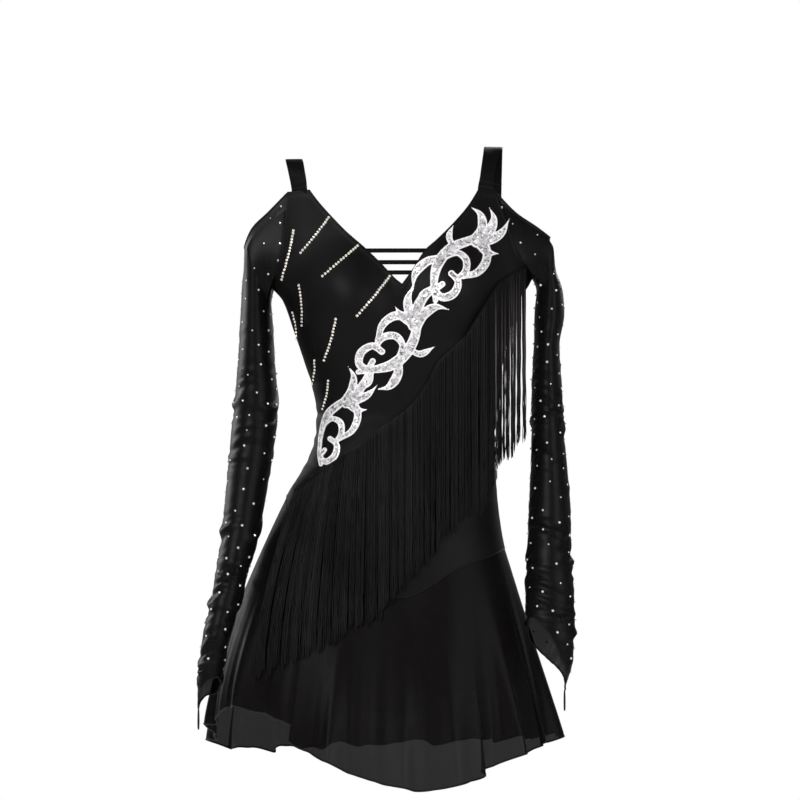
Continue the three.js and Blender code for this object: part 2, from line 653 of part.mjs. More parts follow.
sleeve("sleeve_right", {
  sections: RIGHT_SLEEVE, cuff: RIGHT_CUFF, shoulder: RIGHT_SHOULDER, side: -1,
  frontHole: spaced(FRONT_RIGHT_ARMHOLE, ARMHOLE_STEPS),
  backHole: [{}, ...reversed(spaced(reversed(BACK_RIGHT_ARMHOLE), ARMHOLE_STEPS)).slice(0, -1)],
});
sleeve("sleeve_left", {
  sections: LEFT_SLEEVE, cuff: LEFT_CUFF, shoulder: LEFT_SHOULDER, side: 1,
  frontHole: spaced(reversed(FRONT_LEFT_ARMHOLE), ARMHOLE_STEPS),
  backHole: [{}, ...reversed(spaced(BACK_LEFT_ARMHOLE, ARMHOLE_STEPS)).slice(0, -1)],
});

// Finger loops at the cuffs' points
function fingerLoop(top) {
  const steps = 20;
  const sides = 6;
  const around = Array.from({ length: steps }, (_, k) => (2 * Math.PI * k) / steps);
  const path = around.map((t) => new THREE.Vector3(
    top.x,
    top.y + (LOOP.wide / 2) * Math.sin(t) * Math.sin(t / 2) ** 0.6,
    top.z - (LOOP.long / 2) * (1 - Math.cos(t)),
  ));
  const rings = path.map((point, k) => {
    const along = path[(k + 1) % steps].clone().sub(path[(k + steps - 1) % steps]).normalize();
    const outward = along.clone().cross(new THREE.Vector3(1, 0, 0)).normalize();
    return Array.from({ length: sides + 1 }, (_, j) => {
      const turn = (2 * Math.PI * (j % sides)) / sides;
      return point.clone()
        .addScaledVector(outward, LOOP.cord * Math.cos(turn))
        .addScaledVector(new THREE.Vector3(1, 0, 0), LOOP.cord * Math.sin(turn));
    });
  });
  const positions = rings.flatMap((ring) => ring.slice(0, sides)).flatMap((point) => point.toArray());
  const faces = [];
  for (let k = 0; k < steps; k += 1) {
    for (let j = 0; j < sides; j += 1) {
      const a = k * sides + j;
      const b = k * sides + ((j + 1) % sides);
      const c = ((k + 1) % steps) * sides + ((j + 1) % sides);
      const d = ((k + 1) % steps) * sides + j;
      faces.push(a, b, c, a, c, d);
    }
  }
  return outwards(positions, faces);
}
add("finger_loop_right", fingerLoop(new THREE.Vector3(-242.6, -81, -684.2)), cloth(BLACK.elastic, 0.5));
add("finger_loop_left", fingerLoop(new THREE.Vector3(202.6, -82, -661.2)), cloth(BLACK.elastic, 0.5));

// The front panel's outer face under a point that is seen from the front.
function facesOf({ outer }) {
  const directions = normals(outer, false);
  const faces = [];
  for (let i = 0; i < outer.length - 1; i += 1) {
    for (let j = 0; j < outer[0].length - 1; j += 1) {
      const corners = [[i, j], [i, j + 1], [i + 1, j + 1], [i + 1, j]];
      for (const three of [[0, 1, 2], [0, 2, 3]]) {
        const picked = three.map((k) => corners[k]);
        faces.push({
          points: picked.map(([a, b]) => outer[a][b]),
          directions: picked.map(([a, b]) => directions[a][b]),
        });
      }
    }
  }
  return faces;
}

function onFaces(faces, x, z, lift) {
  for (const { points: [a, b, c], directions } of faces) {
    const area = (b.x - a.x) * (c.z - a.z) - (c.x - a.x) * (b.z - a.z);
    const v = ((x - a.x) * (c.z - a.z) - (c.x - a.x) * (z - a.z)) / area;
    const w = ((b.x - a.x) * (z - a.z) - (x - a.x) * (b.z - a.z)) / area;
    if (v < -1e-6 || w < -1e-6 || v + w > 1 + 1e-6) continue;
    const shares = [1 - v - w, v, w];
    const point = new THREE.Vector3();
    const direction = new THREE.Vector3();
    [a, b, c].forEach((corner, k) => point.addScaledVector(corner, shares[k]));
    directions.forEach((corner, k) => direction.addScaledVector(corner, shares[k]));
    return point.addScaledVector(direction.normalize(), lift);
  }
  throw new Error(`the point ${x.toFixed(1)}, ${z.toFixed(1)} lies off the surface`);
}
const frontFaces = facesOf(bodiceFront);
const onFront = (x, z, lift) => onFaces(frontFaces, x, z, lift);

// How far forward the dress reaches, seen from the front, on a grid of small cells.
const CELL = 4;
const cellOf = (x, z) => `${Math.round(x / CELL)},${Math.round(z / CELL)}`;
const reach = new Map();
for (const { outer } of [bodiceFront, skirtFront]) {
  const parts = 6;
  for (let i = 0; i < outer.length - 1; i += 1) {
    for (let j = 0; j < outer[0].length - 1; j += 1) {
      for (let k = 0; k <= parts * parts; k += 1) {
        const u = (k % parts) / (parts - 1);
        const v = Math.floor(k / parts) / parts;
        const near = outer[i][j].clone().lerp(outer[i + 1][j], u);
        const point = near.lerp(outer[i][j + 1].clone().lerp(outer[i + 1][j + 1], u), v);
        const cell = cellOf(point.x, point.z);
        if (!(reach.get(cell) < point.y)) reach.set(cell, point.y);
      }
    }
  }
}

function frontMost(x, z) {
  let y = Infinity;
  for (const dx of [-CELL, 0, CELL]) {
    for (const dz of [-CELL, 0, CELL]) y = Math.min(y, reach.get(cellOf(x + dx, z + dz)) ?? Infinity);
  }
  return y;
}

// Fringe: a tape along the slanted line, and strands that hang from it
const tapeLine = smooth(TAPE_LINE, "x");
const tapeTurns = Array.from({ length: 60 }, (_, k) => {
  const x = lerp(TAPE_LINE.at(-1).x, TAPE_LINE[0].x, k / 59);
  return { angle: torsoAngle(x, tapeLine(x).z), x };
});
const tapeX = (angle) => smooth(tapeTurns, "angle")(angle).x;
const fringeEnds = smooth(FRINGE_ENDS, "x");
function tapeGrid() {
  const steps = 54;
  const first = torsoAngle(TAPE_LINE.at(-1).x, TAPE_LINE.at(-1).z);
  const last = torsoAngle(TAPE_LINE[0].x, TAPE_LINE[0].z);
  return Array.from({ length: steps + 1 }, (_, i) => {
    const x = tapeX(lerp(first, last, i / steps));
    const slope = (tapeLine(x + 1).z - tapeLine(x - 1).z) / 2;
    const rise = TAPE.width / Math.hypot(1, slope);
    const across = i === 0 || i === steps ? 0 : slope * rise * 0.6;
    return [1, 0.5, 0].map((share) => onFront(x - across * share, tapeLine(x).z + rise * share, TAPE.lift));
  });
}
const tape = tapeGrid();
const tapeFaces = facesOf({ outer: tape });

// A repeatable number from 0 to 1 for each strand.
function chance(k) {
  const wave = Math.sin(k * 12.9898 + 4.137) * 43758.5453;
  return wave - Math.floor(wave);
}

function strand(x, k) {
  const swing = FRINGE_SWING.most * ramp((FRINGE_SWING.starts - x) / (FRINGE_SWING.starts - STRAND.first)) ** 1.2;
  const top = tapeLine(x).z + 3.2;
  const end = fringeEnds(x + swing).z + FRINGE_JAG * (2 * chance(k) - 1);
  const shares = [0, 0.14, 1];
  const heights = shares.map((share) => lerp(top, end, share));
  const placeX = (z) => x + swing * ((top - z) / (top - end)) ** 1.3;
  let y = onFaces(tapeFaces, x, top, TAPE.thick / 2).y;
  const middles = heights.map((z, step) => {
    if (step === 0) return new THREE.Vector3(x, y, z);
    const from = heights[step] + (heights[step - 1] - heights[step]) * 0.6;
    const to = heights[Math.min(step + 1, heights.length - 1)];
    for (let place = from; place >= to; place -= 3) {
      y = Math.min(y, frontMost(placeX(place), place) - STRAND.lift);
    }
    return new THREE.Vector3(placeX(z), y, z);
  });
  const rings = middles.map((middle, step) => {
    const size = STRAND.radius * (step === middles.length - 1 ? 0.7 : 1);
    return [90, 210, 330].map((turn) => new THREE.Vector3(
      middle.x + size * Math.cos(radians(turn)),
      middle.y + size * Math.sin(radians(turn)),
      middle.z,
    ));
  });
  return rod(rings);
}

function fringe() {
  let solid = toSolid(wall(tape, moved(tape, normals(tape, false), TAPE.thick)));
  const count = Math.floor((STRAND.last - STRAND.first) / STRAND.pitch);
  for (let k = 0; k <= count; k += 1) solid = solid.add(toSolid(strand(STRAND.first + k * STRAND.pitch, k)));
  return toGeometry(solid);
}
add("fringe", fringe(), cloth(BLACK.fringe, 0.4));

// Applique: flat leafy strokes are joined, and then laid on the front panel
function stroke(points, widths, thickness) {
  const curve = new THREE.CatmullRomCurve3(points.map(([x, y]) => new THREE.Vector3(x, y, 0)), false, "centripetal");
  const steps = Math.max(5, Math.round(curve.getLength() / 7.5));
  const rings = Array.from({ length: steps + 1 }, (_, k) => {
    const t = k / steps;
    const middle = curve.getPointAt(t);
    const along = curve.getTangentAt(t);
    const [start, full, end] = widths;
    const width = t < 0.45 ? lerp(start, full, ramp(t / 0.45)) : lerp(full, end, ramp((t - 0.45) / 0.55) ** 1.2);
    const aside = new THREE.Vector3(-along.y, along.x, 0).multiplyScalar(width / 2);
    const left = middle.clone().add(aside);
    const right = middle.clone().sub(aside);
    const lifted = (point) => point.clone().setZ(thickness);
    return [left, right, lifted(right), lifted(left)];
  });
  return toSolid(rod(rings));
}

function scrollwork() {
  const axis = new THREE.CatmullRomCurve3(SCROLL_AXIS.map(({ x, z }) => new THREE.Vector3(x, z, 0)));
  const unitLength = SCROLL_UNIT[0].points.at(-1)[0];
  let flat = null;
  for (const { start, end, size, side, strokes } of SCROLL_UNITS) {
    for (const { widths, points } of SCROLL_UNIT.slice(0, strokes)) {
      const placed = points.map(([along, across]) => {
        const t = THREE.MathUtils.clamp(lerp(start, end, along / unitLength), 0, 1);
        const middle = axis.getPointAt(t);
        const tangent = axis.getTangentAt(t);
        const offset = across * size * side;
        return [middle.x - tangent.y * offset, middle.y + tangent.x * offset];
      });
      const piece = stroke(placed, widths.map((width) => width * size), SCROLL.thick);
      flat = flat ? flat.add(piece) : piece;
    }
  }
  const geometry = mergeVertices(new TessellateModifier(SCROLL.edge, 6).modify(toGeometry(flat)), 1e-3);
  const position = geometry.getAttribute("position");
  for (let k = 0; k < position.count; k += 1) {
    const lift = SCROLL.lift + position.getZ(k);
    const point = onFront(position.getX(k), position.getY(k), lift);
    position.setXYZ(k, point.x, point.y, point.z);
  }
  return outwards([...position.array], [...geometry.getIndex().array]);
}
add("applique", scrollwork(), new THREE.MeshStandardMaterial({ color: 0xc9c6cc, roughness: 0.35, metalness: 0.8 }));

export default dress;
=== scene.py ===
"""A figure skating dress as it hangs when it is worn: black stretch bodice, sheer skirt and net sleeves, with
a slanted fringe, a leafy silver applique and small stones. Tables and curves are in millimetres, with +X to the
wearer's left, -Y to the front and +Z up, and meshes are made in metres."""
import math

import bpy
import numpy as np
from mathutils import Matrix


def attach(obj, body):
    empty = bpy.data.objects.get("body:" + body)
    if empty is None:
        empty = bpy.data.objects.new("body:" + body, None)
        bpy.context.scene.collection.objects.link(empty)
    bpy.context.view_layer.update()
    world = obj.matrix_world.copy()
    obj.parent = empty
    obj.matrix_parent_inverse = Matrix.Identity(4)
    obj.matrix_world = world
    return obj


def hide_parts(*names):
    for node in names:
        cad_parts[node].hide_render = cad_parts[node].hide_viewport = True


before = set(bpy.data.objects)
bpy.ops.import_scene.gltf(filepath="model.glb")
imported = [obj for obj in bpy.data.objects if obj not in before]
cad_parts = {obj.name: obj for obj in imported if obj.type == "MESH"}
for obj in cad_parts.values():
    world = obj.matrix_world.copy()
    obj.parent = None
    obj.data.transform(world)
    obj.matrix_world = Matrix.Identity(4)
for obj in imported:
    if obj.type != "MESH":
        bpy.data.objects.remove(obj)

bl_info = {
    "name": "Figure skating dress",
    "version": (1, 0, 0),
    "blender": (4, 5, 0),
    "location": "3D View > Sidebar > Dress",
    "description": "Makes the cloth, fringe, applique, stones and stitching of a figure skating dress",
    "category": "Add Mesh",
}

MM = 0.001
SEAM_GAP = 0.5
BRIEF_GAP = 0.8
# How round the body's sections are, and the skirt's hem: 1 is an ellipse, and less is squarer.
ROUND_TORSO = 0.889
ROUND_HEM = 0.95

# The figure: height, right and left side edges, and how far front and back stand out from the side seams.
FIGURE = [
    (-20, -170, 160, 46, 56), (-50, -168, 162, 60, 66), (-100, -168, 169, 84, 86), (-143, -165, 171, 100, 96),
    (-163, -159, 163, 105, 98), (-184, -142.5, 149, 108, 98), (-221, -129, 138, 106, 93),
    (-259, -116, 130, 100, 86), (-296, -104.5, 124.5, 93, 79), (-327, -100, 121.5, 89, 76),
    (-359, -103, 120, 89, 78), (-390, -115, 120.5, 92, 86), (-427, -137, 122.5, 97, 99),
    (-465, -150, 127, 101, 111), (-502, -159, 134, 103, 119), (-560, -168, 147, 101, 121),
    (-620, -166, 151, 92, 112), (-700, -158, 148, 68, 88),
]
# The cups: x, z, reach across, above and below, and how far each stands out.
CUPS = [(-70, -192, 66, 88, 58, 24), (76, -180, 66, 88, 58, 24)]

# The waist seam by angle round the body from the front centre, positive towards the wearer's left.
WAIST_SEAM = [
    (-90, -427), (-60, -456), (-30, -506), (-8, -543), (5, -546), (16, -534), (28, -516), (42, -505),
    (90, -492), (130, -502), (180, -512), (230, -478),
]
FRONT_RIGHT_ARMHOLE = [
    (-90, -163), (-78, -160.5), (-67, -151), (-58, -132), (-53.5, -104), (-52, -76), (-51, -52),
]
FRONT_RIGHT_NECK = [(-108, -50), (-98, -64), (-88, -76), (-64, -102), (-37, -127), (5, -168)]
FRONT_LEFT_NECK = [(5, -168), (33, -127), (46, -115), (68, -92), (88, -67), (98, -50)]
FRONT_LEFT_ARMHOLE = [(45, -51), (47, -70), (50, -92), (55, -122), (65, -136), (78, -141.5), (90, -143)]
BACK_LEFT_ARMHOLE = [(90, -143), (102, -140), (113, -131), (121, -112), (125, -88), (127, -60)]
BACK_NECK = [
    (111, -58), (104, -96), (90, -136), (64, -176), (32, -200), (0, -208), (-32, -202), (-66, -180),
    (-92, -142), (-106, -102), (-113, -64),
]
BACK_RIGHT_ARMHOLE = [(233, -66), (235, -92), (239, -120), (247, -148), (258, -160), (270, -163)]
# The bodice's panels: armholes, neck, columns along an armhole, a strap's seat and each part of the neck,
# rows, angles at the side seams, the way from the seams, and the cut's size and area.
BODICE_PANELS = {
    "front": ((FRONT_RIGHT_ARMHOLE, FRONT_LEFT_ARMHOLE), (FRONT_RIGHT_NECK, FRONT_LEFT_NECK),
              (42, 14, 49), 112, (-90, 90), -1, (0.43, 0.50), 0.141),
    "back": ((BACK_LEFT_ARMHOLE, BACK_RIGHT_ARMHOLE), (BACK_NECK,),
             (36, 6, 60), 84, (90, 270), 1, (0.43, 0.45), 0.118),
}

# Each strap's middle line over the shoulder: x, y, z and the turn of its width about the vertical.
STRAP_LINES = {
    "right": [
        (-121.2, -46.4, -59, -31), (-121.5, -46, -50.5, -30), (-123.5, -45, -34, -24), (-127, -35, -17, -14),
        (-129.5, -15, -9, -5), (-130, 6, -8, 4), (-128.5, 26, -17, 14), (-125.5, 40, -36, 24),
        (-123.5, 46, -64, 30), (-123.5, 49.5, -74, 30),
    ],
    "left": [
        (107.2, -49.3, -58, 27), (107.5, -49, -49.4, 27), (109.5, -49, -34, 36), (114, -38, -8, 38),
        (118, -17, 5, 24), (120.5, 5, 8, 4), (121, 26, -3, -14), (121.5, 40, -24, -24),
        (121.5, 47, -57.4, -28), (121.5, 49.5, -67, -28),
    ],
}
STRAP_STEPS = 64
# Steps along a strap at which it is sewn to the front and the back.
STRAP_SEWN = (9, 12, 52, 55)

# The bars across the neckline: name, height, and the neckline's two edges there. Their ends are tucked
# behind it.
NECK_BARS = [("top", -127, -37, 33), ("middle", -141.5, -22, 23), ("low", -154, -9.5, 14.5)]
BAR_TUCK, BAR_BEHIND, BAR_THICK, BAR_LEAN = 6, 1.6, 1.2, 0.37

# The bodice's turned edge, its line of stitches and their size in metres, and the creases at the waist:
# depth, length and shift.
TURNED_EDGE, STITCH_LINE = 7.5, 6.4
STITCH_WIDTH, STITCH_HEIGHT = 0.00055, 0.00045
WAIST_HEIGHT, WAIST_REACH = -345, 62
WAIST_CREASES = [(0.45, 21, 0.0), (0.3, 34, 0.3), (0.2, 13, 0.7)]

HEM = [
    (-90, -726), (-72, -700), (-57, -680), (-45, -684), (-34, -700), (-27, -720), (-13, -746), (0, -764),
    (9, -771), (20, -769), (31, -758), (45, -740), (64, -729), (90, -727), (120, -742), (150, -755),
    (180, -762), (210, -764), (240, -757), (258, -742),
]
# The hem seen from above, and how late the skirt flares, by angle.
HEM_PLAN = (-230, 199, 150, 172)
FLARE = [(-90, 1.6), (-30, 1.45), (30, 1.3), (90, 1.1), (180, 1.35)]
# Soft folds: angle, half width and how far out at the hem.
FOLDS = [
    (-76, 13, 8), (-52, 11, 6), (-17, 11, 5), (4, 12, 6), (21, 9, 4), (48, 11, 8), (81, 11, 8),
    (104, 12, 13), (127, 11, 11), (149, 12, 13), (171, 11, 12), (194, 12, 13), (216, 11, 11),
    (238, 12, 13), (260, 10, 9),
]
# Doubled folds: angle, half width, overlap, step, and the side that the hidden part lies on.
TUCKS = [(-31, 7, 12, 10, -1), (33, 6, 10, 9, 1), (64, 6.5, 10, 8, 1)]
# Fine ripples round the skirt: depth at the hem, number of them and shift.
RIPPLES = [(4.4, 17, 0.1), (3.2, 29, 0.6), (1.3, 47, 0.3), (0.5, 84, 0.3)]
FOLDS_DEEPEN = 1.4
RIPPLES_DEEPEN = 1.3
# The skirt's panels: angles, columns, the side whose seam goes with it, and the cut's size and area.
SKIRT_PANELS = {
    "front": ((-90, 90), 320, "right", (0.55, 0.33), 0.129),
    "back": ((90, 270), 300, "left", (0.70, 0.31), 0.154),
}
SKIRT_ROWS = 52

# The sleeves: height, outer and inner edge, front and back face.
RIGHT_SLEEVE = [
    (-184, -195, -159, -50, 44), (-221, -197, -156, -50, 41), (-259, -199, -154, -50, 37),
    (-315, -204, -150, -51, 31), (-371, -209, -155, -55, 22), (-409, -212, -161, -60, 14),
    (-446, -215, -167, -67, 5), (-484, -219, -174, -76, -8), (-518, -223, -184, -85, -23),
    (-555, -229, -193, -95, -40), (-590, -236, -203, -101, -53), (-626, -241.5, -212, -101, -60),
    (-660, -243.5, -217, -97, -65), (-676, -243, -230, -90, -72), (-684, -242.5, -237, -85, -77),
]
LEFT_SLEEVE = [
    (-146, 197, 176, -49, 42), (-171, 205, 174, -49, 42), (-200, 207, 171, -49, 41),
    (-240, 201, 170, -49, 38), (-296, 204, 167, -50, 32), (-371, 208, 166, -55, 21),
    (-446, 213, 162, -68, 4), (-484, 213, 160, -77, -9), (-518, 214, 158, -87, -23),
    (-555, 215, 156, -97, -38), (-590, 215, 157, -104, -50), (-620, 213, 160, -103, -58),
    (-640, 209, 172, -98, -64), (-652, 205, 186, -92, -71), (-662, 202.5, 196, -88, -76),
]
RIGHT_SHOULDER = [(-160, -32, -76), (-181, -18, -95), (-192, 4, -118), (-183, 27, -104), (-161, 40, -82)]
LEFT_SHOULDER = [(145, -38, -77), (171, -22, -93), (190, 2, -105), (179, 25, -97), (156, 39, -80)]
RIGHT_CUFF = [
    (0, -655), (45, -643), (90, -647), (135, -662), (180, -683), (225, -676), (270, -668), (315, -666),
]
LEFT_CUFF = [
    (0, -592), (40, -571), (80, -588), (115, -620), (150, -646), (180, -660), (215, -650), (270, -628),
    (320, -606),
]
SLEEVE_CUTS = {"right": ((0.24, 0.62), 0.109), "left": ((0.25, 0.60), 0.108)}
# Columns along an armhole's front, its back and over the shoulder.
SLEEVE_COLUMNS = 36
SLEEVE_ROWS = 176
ELBOW_HEIGHT, ELBOW_REACH = -330, 52
FINGER_LOOPS = {"right": (-242.6, -81, -684.2), "left": (202.6, -82, -661.2)}
FINGER_LOOP_SIZE = (6.5, 12)

FRONT_LEG_LINE = [
    (-89, -632), (-60, -634), (-38, -642), (-22, -664), (-14, -687), (-2, -687), (10, -687), (17, -676),
    (34, -664), (60, -660), (89, -660),
]
BACK_LEG_LINE = [
    (91, -660), (120, -662), (150, -668), (165, -684), (172, -694), (180, -694), (188, -694), (197, -678),
    (214, -654), (240, -638), (269, -632),
]

# The gusset's ends: height, and the leg openings' angles there. It sags and narrows between them.
GUSSET_ENDS = ((-687.0, (-13, 9.5)), (-693.2, (187, 173)))
GUSSET_SAG, GUSSET_NARROW = -716, 0.78

# The fringe: its tape's lower edge across the front, and the line that the strands' ends make.
TAPE_LINE = [
    (159, -147), (151, -151), (124, -167), (102, -199), (81, -233), (47, -267), (33, -294), (11, -322),
    (-28, -350), (-46, -367), (-80, -386), (-109, -404), (-128, -421),
]
FRINGE_ENDS = [
    (168, -338), (160, -346), (141, -369), (123, -388), (112, -423), (86, -453), (62, -470), (38, -501),
    (-1, -542), (-28, -569), (-52, -578), (-82, -597), (-119, -618), (-163, -637), (-184, -644),
]
FRINGE_SPAN = (-126, 157)
TAPE_WIDTH, TAPE_THICK = 5, 0.7
# The strands on the right hip swing out over it.
SWING = {"starts": -20, "most": -48, "eases": 1.7}
# Some strands towards the left underarm get a painted highlight: their colour is made far lighter along their
# middle.
GLINT_PAINTED_FROM, GLINT_PAINTED_CHANCE = 117, 0.3
# Strands draw together in bundles: the chance that a new one starts at a strand. How much strands and bundles
# vary is drawn between these ends, and so is how strong a strand's painted highlight is.
BUNDLE_CHANCE = 0.135
VARY = {
    "root": (-0.25, 0.25), "end": (-3, 3), "pull": (0.15, 0.6), "bundle_end": (-6, 5), "wander": (-1.3, 1.3),
    "bundle_wander": (-1.8, 1.8), "wave": (30, 60), "ply": (0, 1.7), "painted_glint": (0.3, 1), "thick": (0.85, 1.2),
}
WAVE_DEPTH = 0.45
# A strand's own tone where no highlight is painted on it, and how much of it its bundle and the strand itself
# give.
DULL_TONE, BUNDLE_PART, STRAND_PART = 0.06, 0.6, 0.4
STRAND_POINTS, STRAND_CHECKS = 24, 90

# The applique's axis, one unit of its scrollwork (widths at start, middle and end; points along and across
# the axis), and the units: start, end, size, side and number of strokes.
SCROLL_AXIS = [
    (-97, -386), (-84, -352), (-66, -314), (-44, -278), (-12, -249), (23, -218), (46, -177), (71, -140),
    (97, -108), (113, -74),
]
SCROLL_SPAN = 126
SCROLL_UNIT = [
    ((7, 15, 12), [(-2, 6), (12, -6), (32, -17), (55, -17), (76, -6), (92, 8)]),
    ((12, 13, 1), [(82, -1), (100, 0), (114, -10), (118, -26)]),
    ((13, 14, 1), [(82, 4), (100, 11), (116, 10), (132, -2)]),
    ((12, 13, 1), [(80, 4), (92, 18), (106, 28), (124, 30)]),
    ((8, 10, 1), [(80, 8), (80, 24), (86, 38)]),
    ((9, 12, 8), [(84, 2), (84, 18), (72, 31), (53, 32), (39, 20)]),
    ((7, 10, 7), [(47, -14), (57, -5), (57, 9), (46, 18), (34, 15), (33, 5)]),
    ((8, 11, 8), [(34, 5), (29, 19), (15, 22), (5, 12), (8, 0), (18, 3)]),
    ((10, 13, 1), [(42, -18), (30, -32), (12, -37), (-4, -28)]),
    ((8, 10, 1), [(10, -4), (-4, -13), (-20, -8)]),
    ((7, 9, 1), [(60, -18), (66, -30), (80, -36)]),
]
SCROLL_UNITS = [(0.0, 0.335, 0.74, -1, 8), (0.325, 0.665, 0.9, 1, 11), (0.655, 1.0, 0.86, -1, 11)]
SCROLL_BLEND = 1.5
# The applique's corded edge: where the cord ends, how soon, its middle and half width, and its height.
CORD = {"ends": 1.4, "fades": 0.6, "middle": 0.95, "half": 1.05, "height": 1.15}
SCROLL_LIFT, SCROLL_FILL, SCROLL_BACK = 0.35, 0.55, 0.25
AXIS_STEPS, STROKE_STEPS = 800, 90
# How far the outline's grid reaches past all strokes, and how far each stroke is felt.
FIELD_MARGIN, STROKE_MARGIN = 12, 11
# Sequins lie this far in from the outline. Their height is in metres.
SEQUINS_INSIDE = 2.9
SEQUIN_HEIGHT = 0.00022
# Past this share of the body's half width the applique turns with its side, and this is how far it may reach.
WRAP_FROM, WRAP_REACH = 0.78, 0.2

# Short rows of stones on the bodice's right side, from end to end (x, z), their pitch, and how they bow.
STONE_ROWS = [
    ((-127, -101), (-141, -160)), ((-84, -86), (-118, -129)), ((-49, -122), (-90, -159)),
    ((-10, -159), (-49, -206)), ((-119, -168), (-116, -216)), ((-74, -210), (-89, -259)),
    ((-128, -200), (-124, -232)), ((-101, -259), (-104, -287)), ((-84, -284), (-91, -319)),
]
STONE_PITCH, STONE_BOW = 3.7, (1.5, 0.6)
# A sleeve's stones: how many places are tried, and the rows at each end that stay bare.
STONE_TRIES, BARE_ROWS = 9000, 6

# The lamps: place, what they aim at, size and power.
LAMPS = {
    "key": ((-1.5, -2.3, 1.1), (0, 0, -0.35), 1.3, 70), "fill": ((2.1, -1.9, 0.1), (0, 0, -0.4), 1.6, 34),
    "back": ((0.9, 2.6, 0.9), (0, 0, -0.3), 1.6, 62), "rim": ((-2.2, 1.7, 0.2), (0, 0, -0.4), 1.2, 30),
}
FLOOR = -1.32
EYE, LENS = (0.0025, -3.0, -0.308), 108

# How far what is sewn on lies above the cloth, and the cords' radii.
LIFTS = {
    "tape": 0.5, "root": 1.7, "strand": 1.6, "sequin": 1.35, "stone": 0.6, "sleeve_stone": 0.35, "stitch": 0.1,
    "piping": 1.3,
}
CORDS = {"hem": 1.15, "side": 0.75, "cuff": 1.1, "shoulder": 1.2, "loop": 0.9, "piping": 0.8}
# Strands start this far above the tape's lower edge.
ROOT_HEIGHT = 3.2

# Edges sharper than this are shaded sharp.
SHARP_EDGE = math.radians(50)
# A wave texture of scale 1 turns by this many radians in each unit.
WAVE_TURN = 20


def smooth(rows, period=0):
    """A curve through a table's rows, by its first column, that never overshoots them."""
    knots = np.array(rows, float)
    knots = knots[np.argsort(knots[:, 0], kind="stable")]
    if period:
        turn = np.zeros(knots.shape[1])
        turn[0] = period
        knots = np.vstack([knots - turn, knots, knots + turn])
    at, values = knots[:, 0], knots[:, 1:]
    rise = np.diff(values, axis=0) / np.diff(at)[:, None]
    product, total = rise[:-1] * rise[1:], rise[:-1] + rise[1:]
    inner = np.where(product > 0, 2 * product / np.where(total == 0, 1, total), 0)
    slope = np.vstack([rise[:1], inner, rise[-1:]])

    def curve(key):
        place = np.clip(np.asarray(key, float), at[0], at[-1])
        k = np.clip(np.searchsorted(at, place, side="left") - 1, 0, len(at) - 2)
        span = (at[k + 1] - at[k])[..., None]
        t = (place - at[k])[..., None] / span
        bend = span * t * (1 - t) * ((1 - t) * slope[k] - t * slope[k + 1])
        return values[k] + (values[k + 1] - values[k]) * t * t * (3 - 2 * t) + bend

    return curve


def ramp(value):
    t = np.clip(value, 0, 1)
    return t * t * (3 - 2 * t)


def lerp(start, end, share):
    return start + (end - start) * share


figure = smooth(FIGURE)
waist_seam = smooth(WAIST_SEAM, 360)
hem_height = smooth(HEM, 360)
flare_power = smooth(FLARE, 360)
tape_line = smooth(TAPE_LINE)
fringe_ends = smooth(FRINGE_ENDS)


def oval(edges, angle, power):
    """Points of an oval with squared shoulders: x, y and how near to the front they are."""
    sine, cosine = np.sin(np.radians(angle)), np.cos(np.radians(angle))
    right, left, front, back = np.moveaxis(np.asarray(edges, float), -1, 0)
    deep = np.abs(cosine) ** power
    x = (right + left) / 2 + (left - right) / 2 * np.sign(sine) * np.abs(sine) ** power
    return x, np.where(cosine > 0, -front, back) * deep, np.where(cosine > 0, deep, 0)


def torso(angle, z):
    """The dress's inner face on the torso."""
    x, y, deep = oval(figure(z), angle, ROUND_TORSO)
    for cup_x, cup_z, across, above, below, out in CUPS:
        reach = ((x - cup_x) / across) ** 2 + ((z - cup_z) / np.where(z > cup_z, above, below)) ** 2
        y = y - deep * out * np.clip(1 - reach, 0, 1) ** 2
    return np.stack([x, y, np.broadcast_to(z, x.shape)], -1)


def body_share(x, z):
    """How far across the body x lies at z, from -1 to 1, and the body's middle and half width there."""
    right, left = np.moveaxis(figure(z)[..., :2], -1, 0)
    return (2 * x - right - left) / (left - right), (right + left) / 2, (left - right) / 2


def torso_angle(x, z):
    across = body_share(x, z)[0]
    return np.degrees(np.arcsin(np.sign(across) * np.minimum(1, np.abs(across)) ** (1 / ROUND_TORSO)))


def front_face(x, z, lift):
    """Points lift above the front panel's outer face, seen from the front at x and z, and their normals."""
    def inner(dx, dz):
        return torso(torso_angle(x + dx, z + dz), z + dz)
    facing = np.cross(inner(1, 0) - inner(-1, 0), inner(0, 1) - inner(0, -1))
    facing /= np.linalg.norm(facing, axis=-1, keepdims=True)
    cloth = sizes().stretch_cloth / MM
    point = inner(0, 0) + facing * (np.asarray(lift)[..., None] + cloth)
    point[..., 1] -= SEAM_GAP / 2
    return point, facing


def wrapped(x, z):
    """Where a flat trimming's x lies once it turns with the body's sides and isn't drawn out there."""
    across, middle, half = body_share(x, z)
    past = np.maximum(np.abs(across) - WRAP_FROM, 0)
    kept = np.minimum(np.abs(across), WRAP_FROM) + WRAP_REACH * np.tanh(past / WRAP_REACH)
    return middle + half * np.sign(across) * kept


def spaced(rows, count, read="angle"):
    """A table's rows as count + 1 (angle, z) places, evenly spaced on the torso."""
    places = np.array(rows, float)
    if read != "angle":
        angle = torso_angle(places[:, 0], places[:, 1])
        places = np.stack([angle if read == "front" else 180 - angle, places[:, 1]], -1)
    length = arc(torso(*places.T), 0)
    return smooth(np.column_stack([length, places]))(np.linspace(0, length[-1], count + 1))


def joined(*stretches):
    return np.vstack([stretches[0], *[stretch[1:] for stretch in stretches[1:]]])


def unit(vectors):
    return vectors / np.maximum(np.linalg.norm(vectors, axis=-1, keepdims=True), 1e-9)


